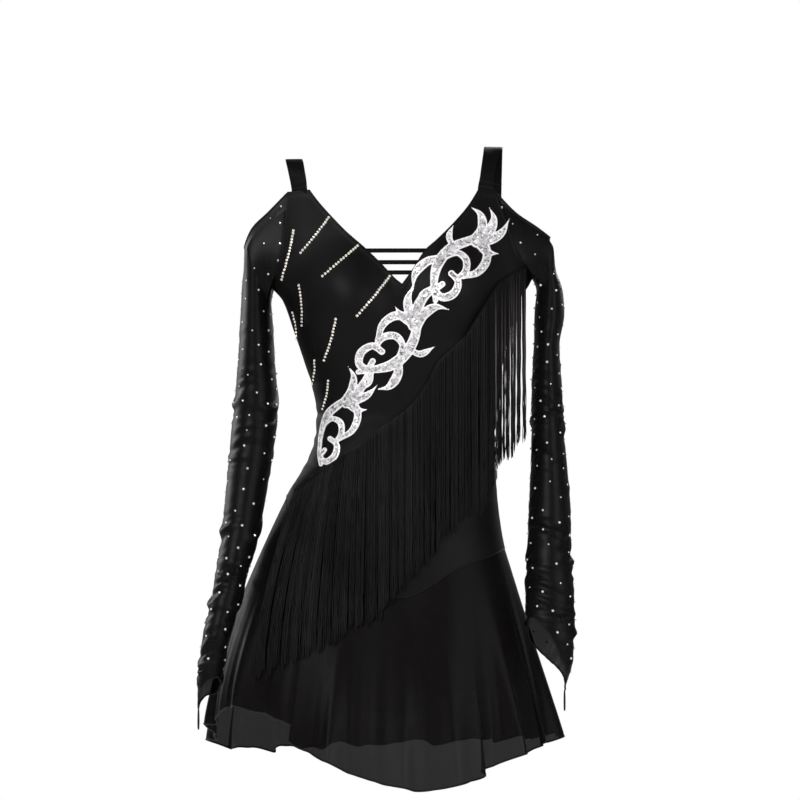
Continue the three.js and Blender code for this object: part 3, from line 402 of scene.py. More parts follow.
def grid_normals(grid, closed=False):
    """Outward directions at a grid's points. A closed grid meets itself across its columns."""
    if closed:
        across = np.roll(grid, -1, axis=0) - np.roll(grid, 1, axis=0)
    else:
        across = np.concatenate([grid[1:], grid[-1:]]) - np.concatenate([grid[:1], grid[:-1]])
    before = np.concatenate([grid[:, :1], grid[:, :-1]], axis=1)
    after = np.concatenate([grid[:, 1:], grid[:, -1:]], axis=1)
    return unit(np.cross(across, before - after))


def arc(grid, axis):
    """Lengths along a line, or a grid's rows or columns, from their start."""
    steps = np.linalg.norm(np.diff(grid, axis=axis), axis=-1)
    start = np.zeros_like(np.take(steps, [0], axis=axis))
    return np.concatenate([start, np.cumsum(steps, axis=axis)], axis=axis)


def sway(values, waves):
    """A sum of sine waves: each has a share, a length and a shift."""
    return sum(share * np.sin(2 * np.pi * (values / length + shift)) for share, length, shift in waves)


# Meshes

def linked(name, data):
    """A new object in the scene."""
    made = bpy.data.objects.new(name, data)
    bpy.context.scene.collection.objects.link(made)
    return made


def grid_quads(index):
    """The quads between a grid's points, given by number."""
    return np.stack([index[:-1, :-1], index[:-1, 1:], index[1:, 1:], index[1:, :-1]], -1).reshape(-1, 4)


def finish_mesh(name, points, quads, caps=(), uv=None):
    """An object from points in millimetres, quads and end triangles, with its faces turned outwards."""
    caps = np.reshape(caps, (-1, 3)).astype(int)
    a, b, c = (points[corner] for corner in np.vstack([quads[:, [0, 1, 2]], quads[:, [0, 2, 3]], caps]).T)
    if np.sum(a * np.cross(b, c)) < 0:
        quads, caps = quads[:, ::-1], caps[:, ::-1]
    mesh = bpy.data.meshes.new(name)
    mesh.from_pydata((points * MM).tolist(), [], quads.tolist() + caps.tolist())
    if uv is not None:
        corners = np.empty(len(mesh.loops), int)
        mesh.loops.foreach_get("vertex_index", corners)
        mesh.uv_layers.new(name="cloth").data.foreach_set("uv", (uv[corners] * MM).ravel())
    mesh.polygons.foreach_set("use_smooth", np.ones(len(mesh.polygons), bool))
    if not len(caps):
        mesh.set_sharp_from_angle(angle=SHARP_EDGE)
    return linked(name, mesh)


def shell(name, inner, outer, closed=False):
    """A closed cloth wall between two grids. Its UV map follows the cloth, in metres."""
    columns, rows = inner.shape[:2]
    index = np.arange(2 * columns * rows).reshape(2, columns, rows)
    if closed:
        index = np.concatenate([index, index[:, :1]], axis=1)
    turned = [1, 0, 3, 2]
    quads = [
        grid_quads(index[0]), grid_quads(index[1])[:, [0, 3, 2, 1]],
        grid_quads(index[..., 0]), grid_quads(index[..., -1])[:, turned],
    ]
    if not closed:
        quads += [grid_quads(index[:, 0])[:, turned], grid_quads(index[:, -1])]
    across = np.broadcast_to(arc(inner, 0)[:, rows // 2:rows // 2 + 1], (columns, rows))
    uv = np.stack([across, -arc(inner, 1)], -1).reshape(-1, 2)
    points = np.concatenate([outer.reshape(-1, 3), inner.reshape(-1, 3)])
    return finish_mesh(name, points, np.vstack(quads), uv=np.concatenate([uv, uv]))


def tube(name, path, radius, sides=8, closed=False):
    """A round cord along a path; an open one is rounded off at both ends."""
    path = np.asarray(path, float)
    size = np.full(len(path), float(radius))
    if closed:
        along = unit(np.roll(path, -1, axis=0) - np.roll(path, 1, axis=0))
    else:
        along = unit(np.gradient(path, axis=0))
        size[[0, -1]] *= 0.5
    side = unit(np.cross(along, [0.31, 0.17, 0.93]))
    turn = np.linspace(0, 2 * np.pi, sides, endpoint=False)[None, :, None]
    ring = side[:, None] * np.cos(turn) + np.cross(side, along)[:, None] * np.sin(turn)
    points = (path[:, None] + ring * size[:, None, None]).reshape(-1, 3)
    index = np.arange(len(points)).reshape(len(path), sides)
    if closed:
        index = np.concatenate([index, index[:1]])
    index = np.concatenate([index, index[:, :1]], axis=1)
    if closed:
        return finish_mesh(name, points, grid_quads(index))
    start, end = len(points), len(points) + 1
    caps = [(start, b, a) for a, b in zip(index[0], index[0, 1:])]
    caps += [(end, a, b) for a, b in zip(index[-1], index[-1, 1:])]
    points = np.vstack([points, path[0] - along[0] * radius / 2, path[-1] + along[-1] * radius / 2])
    return finish_mesh(name, points, grid_quads(index), caps)


def settle(piece, finish, slot, *nodes):
    """Gives a piece its finish, unless its tree has set one, hangs it on the root and hides the model's nodes
    that it stands for. Its slot is not used.
    """
    if finish:
        piece.data.materials.append(finish_of(finish))
    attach(piece, "root")
    if nodes:
        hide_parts(*nodes)
    return piece


def sizes():
    return bpy.context.scene.dress_sizes


def colours():
    return bpy.context.scene.dress_colours


# Geometry Nodes

def add_node(tree, kind, inputs=None, **settings):
    node = tree.nodes.new(kind)
    for key, value in settings.items():
        setattr(node, key, value)
    for key, value in (inputs or {}).items():
        if isinstance(value, bpy.types.NodeSocket):
            tree.links.new(value, node.inputs[key])
        else:
            node.inputs[key].default_value = value
    return node


def new_tree(name, inputs):
    """A geometry tree with named inputs: each has a name, a socket type and a default."""
    tree = bpy.data.node_groups.new(name, "GeometryNodeTree")
    tree.interface.new_socket("Geometry", in_out="INPUT", socket_type="NodeSocketGeometry")
    tree.interface.new_socket("Geometry", in_out="OUTPUT", socket_type="NodeSocketGeometry")
    for label, kind, default in inputs:
        socket = tree.interface.new_socket(label, in_out="INPUT", socket_type=kind)
        if default is not None:
            socket.default_value = default
    return tree, tree.nodes.new("NodeGroupInput")


def close_tree(tree, geometry, finish):
    """Ends a tree: instances are realised and the material is set."""
    real = add_node(tree, "GeometryNodeRealizeInstances", {"Geometry": geometry})
    painted = add_node(tree, "GeometryNodeSetMaterial", {"Geometry": real.outputs[0], "Material": finish})
    add_node(tree, "NodeGroupOutput", {0: painted.outputs[0]})
    return tree


def named(tree, name, kind="FLOAT"):
    return add_node(tree, "GeometryNodeInputNamedAttribute", {"Name": name}, data_type=kind).outputs[0]


def strands_tree():
    """Round strands along a mesh's edges."""
    tree, given = new_tree("strands", [
        ("Radius", "NodeSocketFloat", 0.0005), ("Sides", "NodeSocketInt", 4),
        ("Material", "NodeSocketMaterial", None),
    ])
    lines = add_node(tree, "GeometryNodeMeshToCurve", {"Mesh": given.outputs["Geometry"]})
    section = add_node(tree, "GeometryNodeCurvePrimitiveCircle",
                       {"Resolution": given.outputs["Sides"], "Radius": given.outputs["Radius"]})
    solid = add_node(tree, "GeometryNodeCurveToMesh", {
        "Curve": lines.outputs[0], "Profile Curve": section.outputs[0], "Scale": named(tree, "thick"),
        "Fill Caps": True,
    })
    soft = add_node(tree, "GeometryNodeSetShadeSmooth", {"Geometry": solid.outputs[0], "Shade Smooth": True})
    return close_tree(tree, soft.outputs[0], given.outputs["Material"])


def scatter_tree(kind):
    """Stones, sequins or stitches on a mesh's points, turned by the points' facing and along."""
    tree, given = new_tree("scatter_" + kind, [
        ("Width", "NodeSocketFloat", 0.003), ("Length", "NodeSocketFloat", 0.003),
        ("Height", "NodeSocketFloat", 0.001), ("Material", "NodeSocketMaterial", None),
    ])
    if kind == "stone":
        shape = add_node(tree, "GeometryNodeMeshCone", {
            "Vertices": 8, "Radius Top": 0.26, "Radius Bottom": 0.5, "Depth": 1.0})
    else:
        shape = add_node(tree, "GeometryNodeMeshCylinder", {"Vertices": 8, "Radius": 0.5, "Depth": 1.0})
    scale = add_node(tree, "ShaderNodeCombineXYZ", {
        "X": given.outputs["Length"], "Y": given.outputs["Width"], "Z": given.outputs["Height"]})
    sized = add_node(tree, "GeometryNodeTransform",
                     {"Geometry": shape.outputs["Mesh"], "Scale": scale.outputs[0]})
    facing = named(tree, "facing", "FLOAT_VECTOR")
    along = named(tree, "along", "FLOAT_VECTOR")
    up = add_node(tree, "FunctionNodeAlignRotationToVector", {"Vector": facing}, axis="Z", pivot_axis="AUTO")
    turned = add_node(tree, "FunctionNodeAlignRotationToVector", {"Rotation": up.outputs[0], "Vector": along},
                      axis="X", pivot_axis="Z")
    placed = add_node(tree, "GeometryNodeInstanceOnPoints", {
        "Points": given.outputs["Geometry"], "Instance": sized.outputs[0],
        "Rotation": turned.outputs[0], "Scale": named(tree, "size"),
    })
    return close_tree(tree, placed.outputs[0], given.outputs["Material"])


def set_attribute(mesh, name, kind, values):
    key = "vector" if kind == "FLOAT_VECTOR" else "value"
    layer = mesh.attributes.new(name, kind, "POINT")
    layer.data.foreach_set(key, np.asarray(values, np.float32).ravel())


def grown(name, seed, tree, values, extra):
    """The plain mesh that a tree makes from a seed mesh, as a new object without the extra attributes."""
    source = linked(name + "_seed", seed)
    modifier = source.modifiers.new("nodes", "NODES")
    modifier.node_group = tree
    for socket in tree.interface.items_tree:
        if socket.item_type == "SOCKET" and socket.in_out == "INPUT" and socket.name in values:
            modifier[socket.identifier] = values[socket.name]
    source.update_tag()
    graph = bpy.context.evaluated_depsgraph_get()
    mesh = bpy.data.meshes.new_from_object(source.evaluated_get(graph), depsgraph=graph)
    bpy.data.objects.remove(source)
    for layer in [a for a in mesh.attributes if a.name in extra]:
        mesh.attributes.remove(layer)
    mesh.name = name
    return linked(name, mesh)


def scattered(name, kind, finish, points, facing, size, shape, along=None):
    """Stones, sequins or stitches on points in millimetres. Their shape is a width, length and height."""
    seed = bpy.data.meshes.new(name + "_points")
    seed.from_pydata((points * MM).tolist(), [], [])
    set_attribute(seed, "facing", "FLOAT_VECTOR", facing)
    set_attribute(seed, "along", "FLOAT_VECTOR", np.roll(facing, 1, axis=1) if along is None else along)
    set_attribute(seed, "size", "FLOAT", size)
    values = dict(zip(("Width", "Length", "Height"), shape), Material=finish_of(finish))
    return grown(name, seed, scatter_tree(kind), values, {"facing", "along", "size"})


# Materials

def new_material(name, **sockets):
    finish = bpy.data.materials.new(name)
    finish.use_nodes = True
    shader = finish.node_tree.nodes["Principled BSDF"]
    for key, value in sockets.items():
        shader.inputs[key.replace("_", " ")].default_value = value
    return finish, finish.node_tree, shader


def darker(colour, share):
    return tuple(channel * share for channel in colour)


def mixed(tree, share, first, second):
    """A colour between two, by a share from a texture. Each is a colour or a socket."""
    node = add_node(tree, "ShaderNodeMix", {"Factor": share}, data_type="RGBA")
    for socket, value in zip([given for given in node.inputs if given.type == "RGBA"], (first, second)):
        if isinstance(value, bpy.types.NodeSocket):
            tree.links.new(value, socket)
        else:
            socket.default_value = (*value, 1)
    return next(given for given in node.outputs if given.type == "RGBA")


def ranged(tree, value, low, high, start=0.0, end=1.0):
    node = add_node(tree, "ShaderNodeMapRange", {
        "Value": value, "From Min": start, "From Max": end, "To Min": low, "To Max": high})
    return node.outputs["Result"]


def toned(tree, shader, share, colour, darkness, roughness):
    """Colour and roughness that change together, by a share from a texture."""
    dark, light = (darker(colour, part) for part in darkness)
    tree.links.new(mixed(tree, share, dark, light), shader.inputs["Base Color"])
    tree.links.new(ranged(tree, share, *roughness), shader.inputs["Roughness"])


def cloth_place(tree):
    return add_node(tree, "ShaderNodeUVMap", uv_map="cloth").outputs[0]


def object_place(tree):
    return add_node(tree, "ShaderNodeTexCoord").outputs["Object"]


def attribute(tree, name):
    return add_node(tree, "ShaderNodeAttribute", attribute_name=name).outputs["Fac"]


def bands(tree, coordinates, pitch, direction, turn=0.0):
    """Bands of the given pitch, as a height from 0 to 1."""
    node = add_node(tree, "ShaderNodeTexWave", {
        "Vector": coordinates, "Scale": 2 * math.pi / (WAVE_TURN * pitch), "Distortion": turn},
        wave_type="BANDS", bands_direction=direction)
    return node.outputs["Fac"]


def threads(tree, coordinates, pitch, turn):
    """Fine crossing threads, as a height from 0 to 1."""
    both = {k: bands(tree, coordinates, pitch, direction, turn) for k, direction in enumerate("XY")}
    return add_node(tree, "ShaderNodeMath", both, operation="MAXIMUM").outputs[0]


def noise(tree, coordinates, scale, detail):
    return add_node(tree, "ShaderNodeTexNoise",
                    {"Vector": coordinates, "Scale": scale, "Detail": detail}).outputs["Fac"]


def cells(tree, scale, randomness=1.0):
    """Small cells: a tone for each, and the distance from their middles."""
    node = add_node(tree, "ShaderNodeTexVoronoi", {
        "Vector": object_place(tree), "Scale": scale, "Randomness": randomness})
    tone = add_node(tree, "ShaderNodeSeparateColor", {"Color": node.outputs["Color"]}).outputs[0]
    return tone, node.outputs["Distance"]


def bumped(tree, shader, height, strength, distance):
    node = add_node(tree, "ShaderNodeBump", {"Strength": strength, "Distance": distance, "Height": height})
    tree.links.new(node.outputs[0], shader.inputs["Normal"])


def stretch_finish():
    finish, tree, shader = new_material(
        "stretch_knit", Specular_IOR_Level=0.12, Sheen_Weight=0.004, Sheen_Roughness=0.4)
    cloth = cloth_place(tree)
    toned(tree, shader, noise(tree, cloth, 38.0, 4.0), colours().stretch, (0.7, 1.4), (0.46, 0.62))
    bumped(tree, shader, threads(tree, cloth, 0.0009, 0.4), 0.25, 0.00012)
    return finish


def sheer_finish(name, black, cover, thread, roughness, shine):
    """Sheer cloth: alpha is the share of each face that its threads cover."""
    finish, tree, shader = new_material(
        name, Specular_IOR_Level=shine, Sheen_Weight=0.014, Sheen_Roughness=0.45)
    cloth = cloth_place(tree)
    patches = noise(tree, cloth, 60.0, 5.0)
    toned(tree, shader, patches, black, (0.75, 1.3), (roughness - 0.06, roughness + 0.06))
    weave = threads(tree, cloth, thread, 0.2)
    tree.links.new(ranged(tree, weave, cover - 0.06, cover + 0.04), shader.inputs["Alpha"])
    bumped(tree, shader, weave, 0.2, 0.0001)
    return finish


def elastic_finish():
    finish, tree, shader = new_material("covered_elastic", Specular_IOR_Level=0.06)
    ribs = bands(tree, cloth_place(tree), 0.0013, "X")
    toned(tree, shader, ribs, colours().elastic, (0.6, 1.5), (0.5, 0.62))
    bumped(tree, shader, ribs, 0.4, 0.0002)
    return finish


def cord_finish(name, black, roughness):
    finish, tree, shader = new_material(name, Specular_IOR_Level=0.22)
    grain = noise(tree, object_place(tree), 900.0, 2.0)
    toned(tree, shader, grain, black, (0.6, 1.5), (roughness - 0.08, roughness + 0.08))
    bumped(tree, shader, grain, 0.3, 0.0002)
    return finish


def yarn_finish():
    finish, tree, shader = new_material(
        "fringe_yarn", Specular_IOR_Level=0.16, Sheen_Weight=0.007, Sheen_Roughness=0.3)
    # The tone attribute holds each strand's own random tone, and on some strands a painted highlight: at its
    # light end the colour is forty times the yarn's black.
    toned(tree, shader, attribute(tree, "tone"), colours().yarn, (0.4, 40), (0.5, 0.3))
    turned = add_node(tree, "ShaderNodeMapping", {"Vector": object_place(tree), "Rotation": (0.5, 0, 0)})
    bumped(tree, shader, bands(tree, turned.outputs[0], 0.0011, "Z"), 0.35, 0.0002)
    return finish


def silver_finish():
    """Glittering cells inside, and a plain bright cord along the edge."""
    silver = colours().silver
    finish, tree, shader = new_material("silver_applique", Metallic=0.12)
    tone, distance = cells(tree, 340.0, 0.9)
    fill = mixed(tree, ranged(tree, tone, 0.0, 1.0, 0.05, 0.75), darker(silver, 0.15), silver)
    colour = mixed(tree, attribute(tree, "cord"), fill, darker(silver, 1.1))
    tree.links.new(colour, shader.inputs["Base Color"])
    tree.links.new(ranged(tree, tone, 0.22, 0.5), shader.inputs["Roughness"])
    bumped(tree, shader, distance, 0.6, 0.0006)
    return finish


def sequin_finish():
    finish, tree, shader = new_material("sequins", Metallic=0.35)
    toned(tree, shader, cells(tree, 260.0)[0], colours().silver, (0.55, 1.1), (0.12, 0.34))
    return finish


def stone_finish(name, colour):
    finish, tree, shader = new_material(name, Metallic=0.2, Coat_Weight=0.8, Coat_Roughness=0.05)
    toned(tree, shader, cells(tree, 330.0)[0], colour, (0.8, 1.1), (0.1, 0.28))
    return finish


MADE = {}


def finish_of(name):
    """Each finish is made once."""
    paint, cover = colours(), sizes()
    makers = {
        "stretch": stretch_finish,
        "chiffon": lambda: sheer_finish("chiffon", paint.chiffon, cover.chiffon_cover, 0.0006, 0.46, 0.075),
        "net": lambda: sheer_finish("stretch_net", paint.net, cover.net_cover, 0.0011, 0.42, 0.095),
        "elastic": elastic_finish,
        "cord": lambda: cord_finish("rolled_hem", paint.elastic, 0.6),
        "thread": lambda: cord_finish("sewing_thread", paint.thread, 0.55),
        "yarn": yarn_finish,
        "silver": silver_finish,
        "sequin": sequin_finish,
        "gold_stone": lambda: stone_finish("gold_stones", paint.gold_stone),
        "silver_stone": lambda: stone_finish("silver_stones", paint.silver_stone),
    }
    if name not in MADE:
        MADE[name] = makers[name]()
    return MADE[name]


# Surfaces

def torso_grid(top, bottom, down, toward):
    """A torso panel's inner face, by column and row, between its upper edge and its lower one."""
    grid = torso(lerp(top[:, :1], bottom[:, :1], down), lerp(top[:, 1:], bottom[:, 1:], down))
    grid[..., 1] += toward * SEAM_GAP / 2
    return grid


def seam_places(start, end, count):
    """Evenly spaced (angle, z) places on the waist seam."""
    angle = np.linspace(start, end, count + 1)
    return np.column_stack([angle, waist_seam(angle)[:, 0]])


def bodice_top(armholes, necks, columns, read):
    """A bodice panel's upper edge: armhole, strap's seat, neck, the other seat and the other armhole."""
    armhole, seat, neck = columns
    first, last = (spaced(rows, armhole) for rows in armholes)
    middle = joined(*(spaced(rows, neck, read) for rows in necks))
    seats = [spaced(ends, seat) for ends in ((first[-1], middle[0]), (middle[-1], last[0]))]
    return joined(first, seats[0], middle, seats[1], last)


def bodice_relief(grid):
    """The turned edge along the top, and light tension creases at the waist."""
    below = arc(grid, 1)
    groove = np.exp(-(((below - STITCH_LINE) / 0.9) ** 2))
    edge = 0.5 * (1 - ramp((below - TURNED_EDGE) / 1.6)) - 0.3 * groove
    x, z = grid[..., 0], grid[..., 2]
    waist = np.exp(-(((z - WAIST_HEIGHT) / WAIST_REACH) ** 2))
    slanted = z + 0.22 * np.abs(x - 10) + sway(x, [(5, 90, 0.1), (3, 47, 0.4)])
    creases = sway(slanted, WAIST_CREASES)
    side = ramp((np.abs(x - 8) - 30) / 70)
    return edge + creases * waist * (0.35 + 0.9 * side)


def skirt_grid(angles):
    """A skirt panel's inner face. Folds and doubled folds deepen towards the hem."""
    angle = angles[:, None]
    down = np.linspace(0, 1, SKIRT_ROWS + 1)[None, :]
    start = torso(angles, waist_seam(angles)[:, 0])
    start[:, 2] -= SEAM_GAP
    end_x, end_y, _ = oval(np.broadcast_to(HEM_PLAN, (len(angles), 4)), angles, ROUND_HEM)
    spread = 1 - (1 - down) ** flare_power(angles)
    deepening = down ** FOLDS_DEEPEN
    out = np.zeros_like(angle, dtype=float)
    aside = np.zeros_like(angle, dtype=float)
    for fold_angle, half, far in FOLDS:
        away = np.abs((angle - fold_angle + 180) % 360 - 180) / half
        out = out + np.where(away < 1, far * np.cos(np.clip(away, 0, 1) * np.pi / 2) ** 2, 0)
    for tuck_angle, half, overlap, step, side in TUCKS:
        past = (angle - tuck_angle) / half
        aside = aside - np.where(np.abs(past) < 1, overlap * np.sin(np.clip(past, -1, 1) * np.pi), 0)
        hidden = past * side
        out = out - step * ramp((hidden + 1) / 2) * ramp(1 - (hidden - 1) / 4)
    ripple = sway(angle + sway(angle, [(2.5, 360 / 5, 0.2)]),
                  [(depth, 360 / number, shift) for depth, number, shift in RIPPLES])
    out = out + ripple * down ** RIPPLES_DEEPEN
    turn = np.radians(angle)
    x = lerp(start[:, :1], end_x[:, None], spread) + deepening * (out * np.sin(turn) + aside * np.cos(turn))
    y = lerp(start[:, 1:2], end_y[:, None], spread) + deepening * (aside * np.sin(turn) - out * np.cos(turn))
    z = lerp(start[:, 2:], hem_height(angles), down) + 0.4 * ripple * down ** 3
    return np.stack([x, y, np.broadcast_to(z, x.shape)], -1)


def sleeve_grid(side):
    """A sleeve's middle face: columns run round from the underarm by way of the front."""
    if side == "right":
        sign, sections, cuff, shoulder = -1, RIGHT_SLEEVE, RIGHT_CUFF, RIGHT_SHOULDER
        lines = (FRONT_RIGHT_ARMHOLE, 1), (BACK_RIGHT_ARMHOLE, 1)
    else:
        sign, sections, cuff, shoulder = 1, LEFT_SLEEVE, LEFT_CUFF, LEFT_SHOULDER
        lines = (FRONT_LEFT_ARMHOLE, -1), (BACK_LEFT_ARMHOLE, -1)
    away = np.array([sign * sizes().stretch_cloth / MM / 2, 0, 0])
    front, back = (torso(*spaced(rows, SLEEVE_COLUMNS)[::way].T) + away for rows, way in lines)
    over = catmull_rom(np.vstack([front[-1], np.array(shoulder, float), back[0]]), SLEEVE_COLUMNS)
    loop = np.vstack([front[:-1], over[:-1], back[:-1]])
    turn = (np.arange(len(loop)) * 360 / len(loop))[:, None]
    start = [loop[:, k:k + 1] for k in range(3)]
    down = (np.linspace(0, 1, SLEEVE_ROWS + 1) ** 1.12)[None, :]
    z = lerp(start[2], smooth(cuff, 360)(turn[:, 0]), down)
    outer, inner, near, far = np.moveaxis(smooth(sections)(z), -1, 0)
    cosine, sine = np.cos(np.radians(turn)), np.sin(np.radians(turn))
    x = (outer + inner) / 2 + (inner - outer) / 2 * cosine
    y = (near + far) / 2 + (near - far) / 2 * sine
    settled = ramp((start[2] - z) / lerp(38, 85, (1 - cosine) / 2))
    return np.stack([lerp(start[0], x, settled), lerp(start[1], y, settled), z], -1), sign


def sleeve_creases(grid, side):
    """Slanted creases, deepest at the elbow and along the forearm."""
    turn = (np.arange(len(grid)) / len(grid))[:, None]
    z = grid[..., 2]
    shift = 0.0 if side == "right" else 0.37
    slant = z + 16 * np.sin(2 * np.pi * (turn + shift)) + 9 * np.sin(2 * np.pi * (2 * turn + 0.2 + shift))
    slant = slant + sway(z, [(7, 130, shift), (4, 61, 0.4)])
    waves = 0.9 * (0.5 + 0.5 * np.sin(2 * np.pi * slant / 31)) ** 2
    waves = waves + 0.6 * (0.5 + 0.5 * np.sin(2 * np.pi * (slant / 19 + 0.3 + shift))) ** 3
    waves = waves + 0.35 * np.sin(2 * np.pi * (1.7 * slant / 19 + 3 * turn))
    elbow = np.exp(-(((z - ELBOW_HEIGHT) / ELBOW_REACH) ** 2))
    forearm = ramp((-430 - z) / 50) * ramp((z + 668) / 30)
    patch = 0.6 + 0.4 * np.sin(2 * np.pi * (z / 83 + 2 * turn + shift))
    return (waves - 0.55) * patch * (2.0 * elbow + 2.6 * forearm + 0.5 * ramp((-190 - z) / 40))


# Curves

def catmull_rom(points, count):
    """count + 1 evenly spaced points on a smooth curve through the given points."""
    points = np.asarray(points, float)
    ends = np.vstack([2 * points[0] - points[1], points, 2 * points[-1] - points[-2]])
    gap = np.maximum(np.linalg.norm(np.diff(ends, axis=0), axis=1), 1e-4) ** 0.5
    t = np.linspace(0, 1, 24, endpoint=False)[:, None]
    dense = []
    for k in range(len(points) - 1):
        p0, p1, p2, p3 = ends[k:k + 4]
        d0, d1, d2 = gap[k:k + 3]
        leave = ((p1 - p0) / d0 - (p2 - p0) / (d0 + d1) + (p2 - p1) / d1) * d1
        arrive = ((p2 - p1) / d1 - (p3 - p1) / (d1 + d2) + (p3 - p2) / d2) * d1
        cubic = 2 * p1 - 2 * p2 + leave + arrive
        square = -3 * p1 + 3 * p2 - 2 * leave - arrive
        dense.append(cubic * t ** 3 + square * t ** 2 + leave * t + p1)
    dense = np.vstack([*dense, points[-1:]])
    length = arc(dense, 0)
    at = np.linspace(0, length[-1], count + 1)
    return np.stack([np.interp(at, length, values) for values in dense.T], -1)


def along_line(path, pitch):
    """Points every pitch along a path."""
    length = arc(path, 0)
    at = np.arange(pitch / 2, length[-1], pitch)
    return np.stack([np.interp(at, length, values) for values in path.T], -1)


# What the pieces share: faces that trimmings lie on.
FACES = {}


def length_property(name, description, default):
    return bpy.props.FloatProperty(name=name, description=description, default=default, unit="LENGTH")


def cover_property(name, description, default):
    return bpy.props.FloatProperty(name=name, description=description, default=default, subtype="FACTOR")


def colour_property(name, description, default):
    return bpy.props.FloatVectorProperty(
        name=name, description=description, default=default, subtype="COLOR", size=3, min=0, max=1)


class DressSizes(bpy.types.PropertyGroup):
    stretch_cloth: length_property("Bodice cloth", "Thickness of the lined stretch cloth", 0.0014)
    sheer_cloth: length_property("Skirt cloth", "Thickness of the sheer skirt", 0.0010)
    net_cloth: length_property("Sleeve net", "Thickness of the net sleeves", 0.0010)
    brief_cloth: length_property("Brief cloth", "Thickness of the briefs", 0.0012)
    chiffon_cover: cover_property("Skirt cover", "Share of each skirt face that threads cover", 0.85)
    net_cover: cover_property("Net cover", "Share of each sleeve face that threads cover", 0.85)
    strap_width: length_property("Strap width", "Width of the shoulder straps", 0.021)
    strap_cloth: length_property("Strap thickness", "Thickness of the shoulder straps", 0.0016)
    bar_height: length_property("Neck bar height", "Height of the bars across the neckline", 0.0052)
    strand_radius: length_property("Strand radius", "Radius of one fringe strand", 0.00046)
    strand_count: bpy.props.IntProperty(
        name="Strands", description="Number of fringe strands", default=800, subtype="UNSIGNED")
    applique_cell: length_property("Applique grid", "Spacing of the applique's mesh", 0.00075)
    sequin_width: length_property("Sequin width", "Width of the applique's sequins", 0.0028)
    stone_width: length_property("Stone width", "Width of a middling stone", 0.0034)
    stone_gap: length_property("Sleeve stone gap", "Least distance between stones on a sleeve", 0.0185)
    stitch_pitch: length_property("Stitch pitch", "Distance from stitch to stitch", 0.0032)
    stitch_length: length_property("Stitch length", "Length of one stitch", 0.0023)


class DressColours(bpy.types.PropertyGroup):
    stretch: colour_property("Bodice", "Black of the stretch cloth", (0.0033, 0.0029, 0.0030))
    chiffon: colour_property("Skirt", "Black of the sheer skirt", (0.0033, 0.0025, 0.0025))
    net: colour_property("Sleeves", "Black of the net", (0.0044, 0.0038, 0.0039))
    elastic: colour_property("Elastic", "Black of straps and hems", (0.0036, 0.0033, 0.0035))
    yarn: colour_property("Fringe", "Black of the fringe yarn", (0.0039, 0.0034, 0.0034))
    thread: colour_property("Thread", "Colour of the sewing thread", (0.016, 0.015, 0.016))
    silver: colour_property("Silver", "Silver of the applique", (0.88, 0.86, 0.88))
    gold_stone: colour_property("Bodice stones", "Colour of the bodice's stones", (0.97, 0.93, 0.83))
    silver_stone: colour_property("Sleeve stones", "Colour of the sleeves' stones", (0.88, 0.89, 0.92))


class MakeBodice(bpy.types.Operator):
    """Make the bodice's front and back"""
    bl_idname = "dress.bodice"
    bl_label = "Bodice"

    def execute(self, context):
        cloth = sizes().stretch_cloth / MM
        for name, (armholes, necks, columns, rows, angles, toward, flat, area) in BODICE_PANELS.items():
            top = bodice_top(armholes, necks, columns, name)
            down = np.linspace(0, 1, rows + 1) ** 1.25
            grid = torso_grid(top, seam_places(*angles, len(top) - 1), down, toward)
            facing = grid_normals(grid)
            outer = grid + facing * (cloth + bodice_relief(grid))[..., None]
            FACES["bodice_" + name] = (outer, facing)
            panel = shell(f"bodice_{name}_cloth", grid, outer)
            settle(panel, "stretch", "stretch_cloth", "bodice_" + name)
        return {"FINISHED"}


class MakeStraps(bpy.types.Operator):
    """Make the two shoulder straps"""
    bl_idname = "dress.straps"
    bl_label = "Shoulder straps"

    def execute(self, context):
        width, thick = sizes().strap_width / MM, sizes().strap_cloth / MM
        for side, rows in STRAP_LINES.items():
            table = smooth([(k, *row) for k, row in enumerate(rows)])
            middle = table(np.linspace(0, len(rows) - 1, STRAP_STEPS + 1))
            point, turn = middle[:, :3], np.radians(middle[:, 3])
            forward = unit(np.gradient(point, axis=0))
            wide = np.stack([np.cos(turn), np.sin(turn), np.zeros_like(turn)], -1)
            wide = unit(wide - forward * np.sum(wide * forward, axis=-1, keepdims=True))
            facing = unit(np.cross(wide, forward))
            across = np.linspace(-0.5, 0.5, 13)
            edge = 1 - 0.35 * np.abs(2 * across) ** 6
            grid = point[None] + wide[None] * (across * width)[:, None, None]
            half = facing[None] * (edge * thick / 2)[:, None, None]
            strap = shell(f"strap_{side}_elastic", grid - half, grid + half)
            settle(strap, "elastic", "elastic", f"strap_{side}")
            FACES["strap_" + side] = (grid - half, grid + half, facing)
        return {"FINISHED"}


class MakeNeckBars(bpy.types.Operator):
    """Make the three bars across the neckline"""
    bl_idname = "dress.neck_bars"
    bl_label = "Neck bars"

    def execute(self, context):
        height = sizes().bar_height / MM
        for name, z, start, end in NECK_BARS:
            x = np.array([start - BAR_TUCK, end + BAR_TUCK], float)
            level = np.full(2, float(z))
            ends = torso(torso_angle(x, level), level)
            share = np.linspace(0.5, -0.5, 7)
            along = np.linspace(0, 1, 33)[:, None, None]
            grid = lerp(ends[0], ends[1], along) + np.zeros((1, len(share), 1))
            grid[..., 1] += BAR_BEHIND + BAR_THICK + share * height * BAR_LEAN
            grid[..., 2] += share * height
            crown = (1 - 0.5 * np.abs(2 * share) ** 4)[None, :, None]
            bar = shell(f"neck_bar_{name}_elastic", grid, grid + grid_normals(grid) * BAR_THICK * crown)
            settle(bar, "elastic", "elastic", f"neck_bar_{name}")
        return {"FINISHED"}


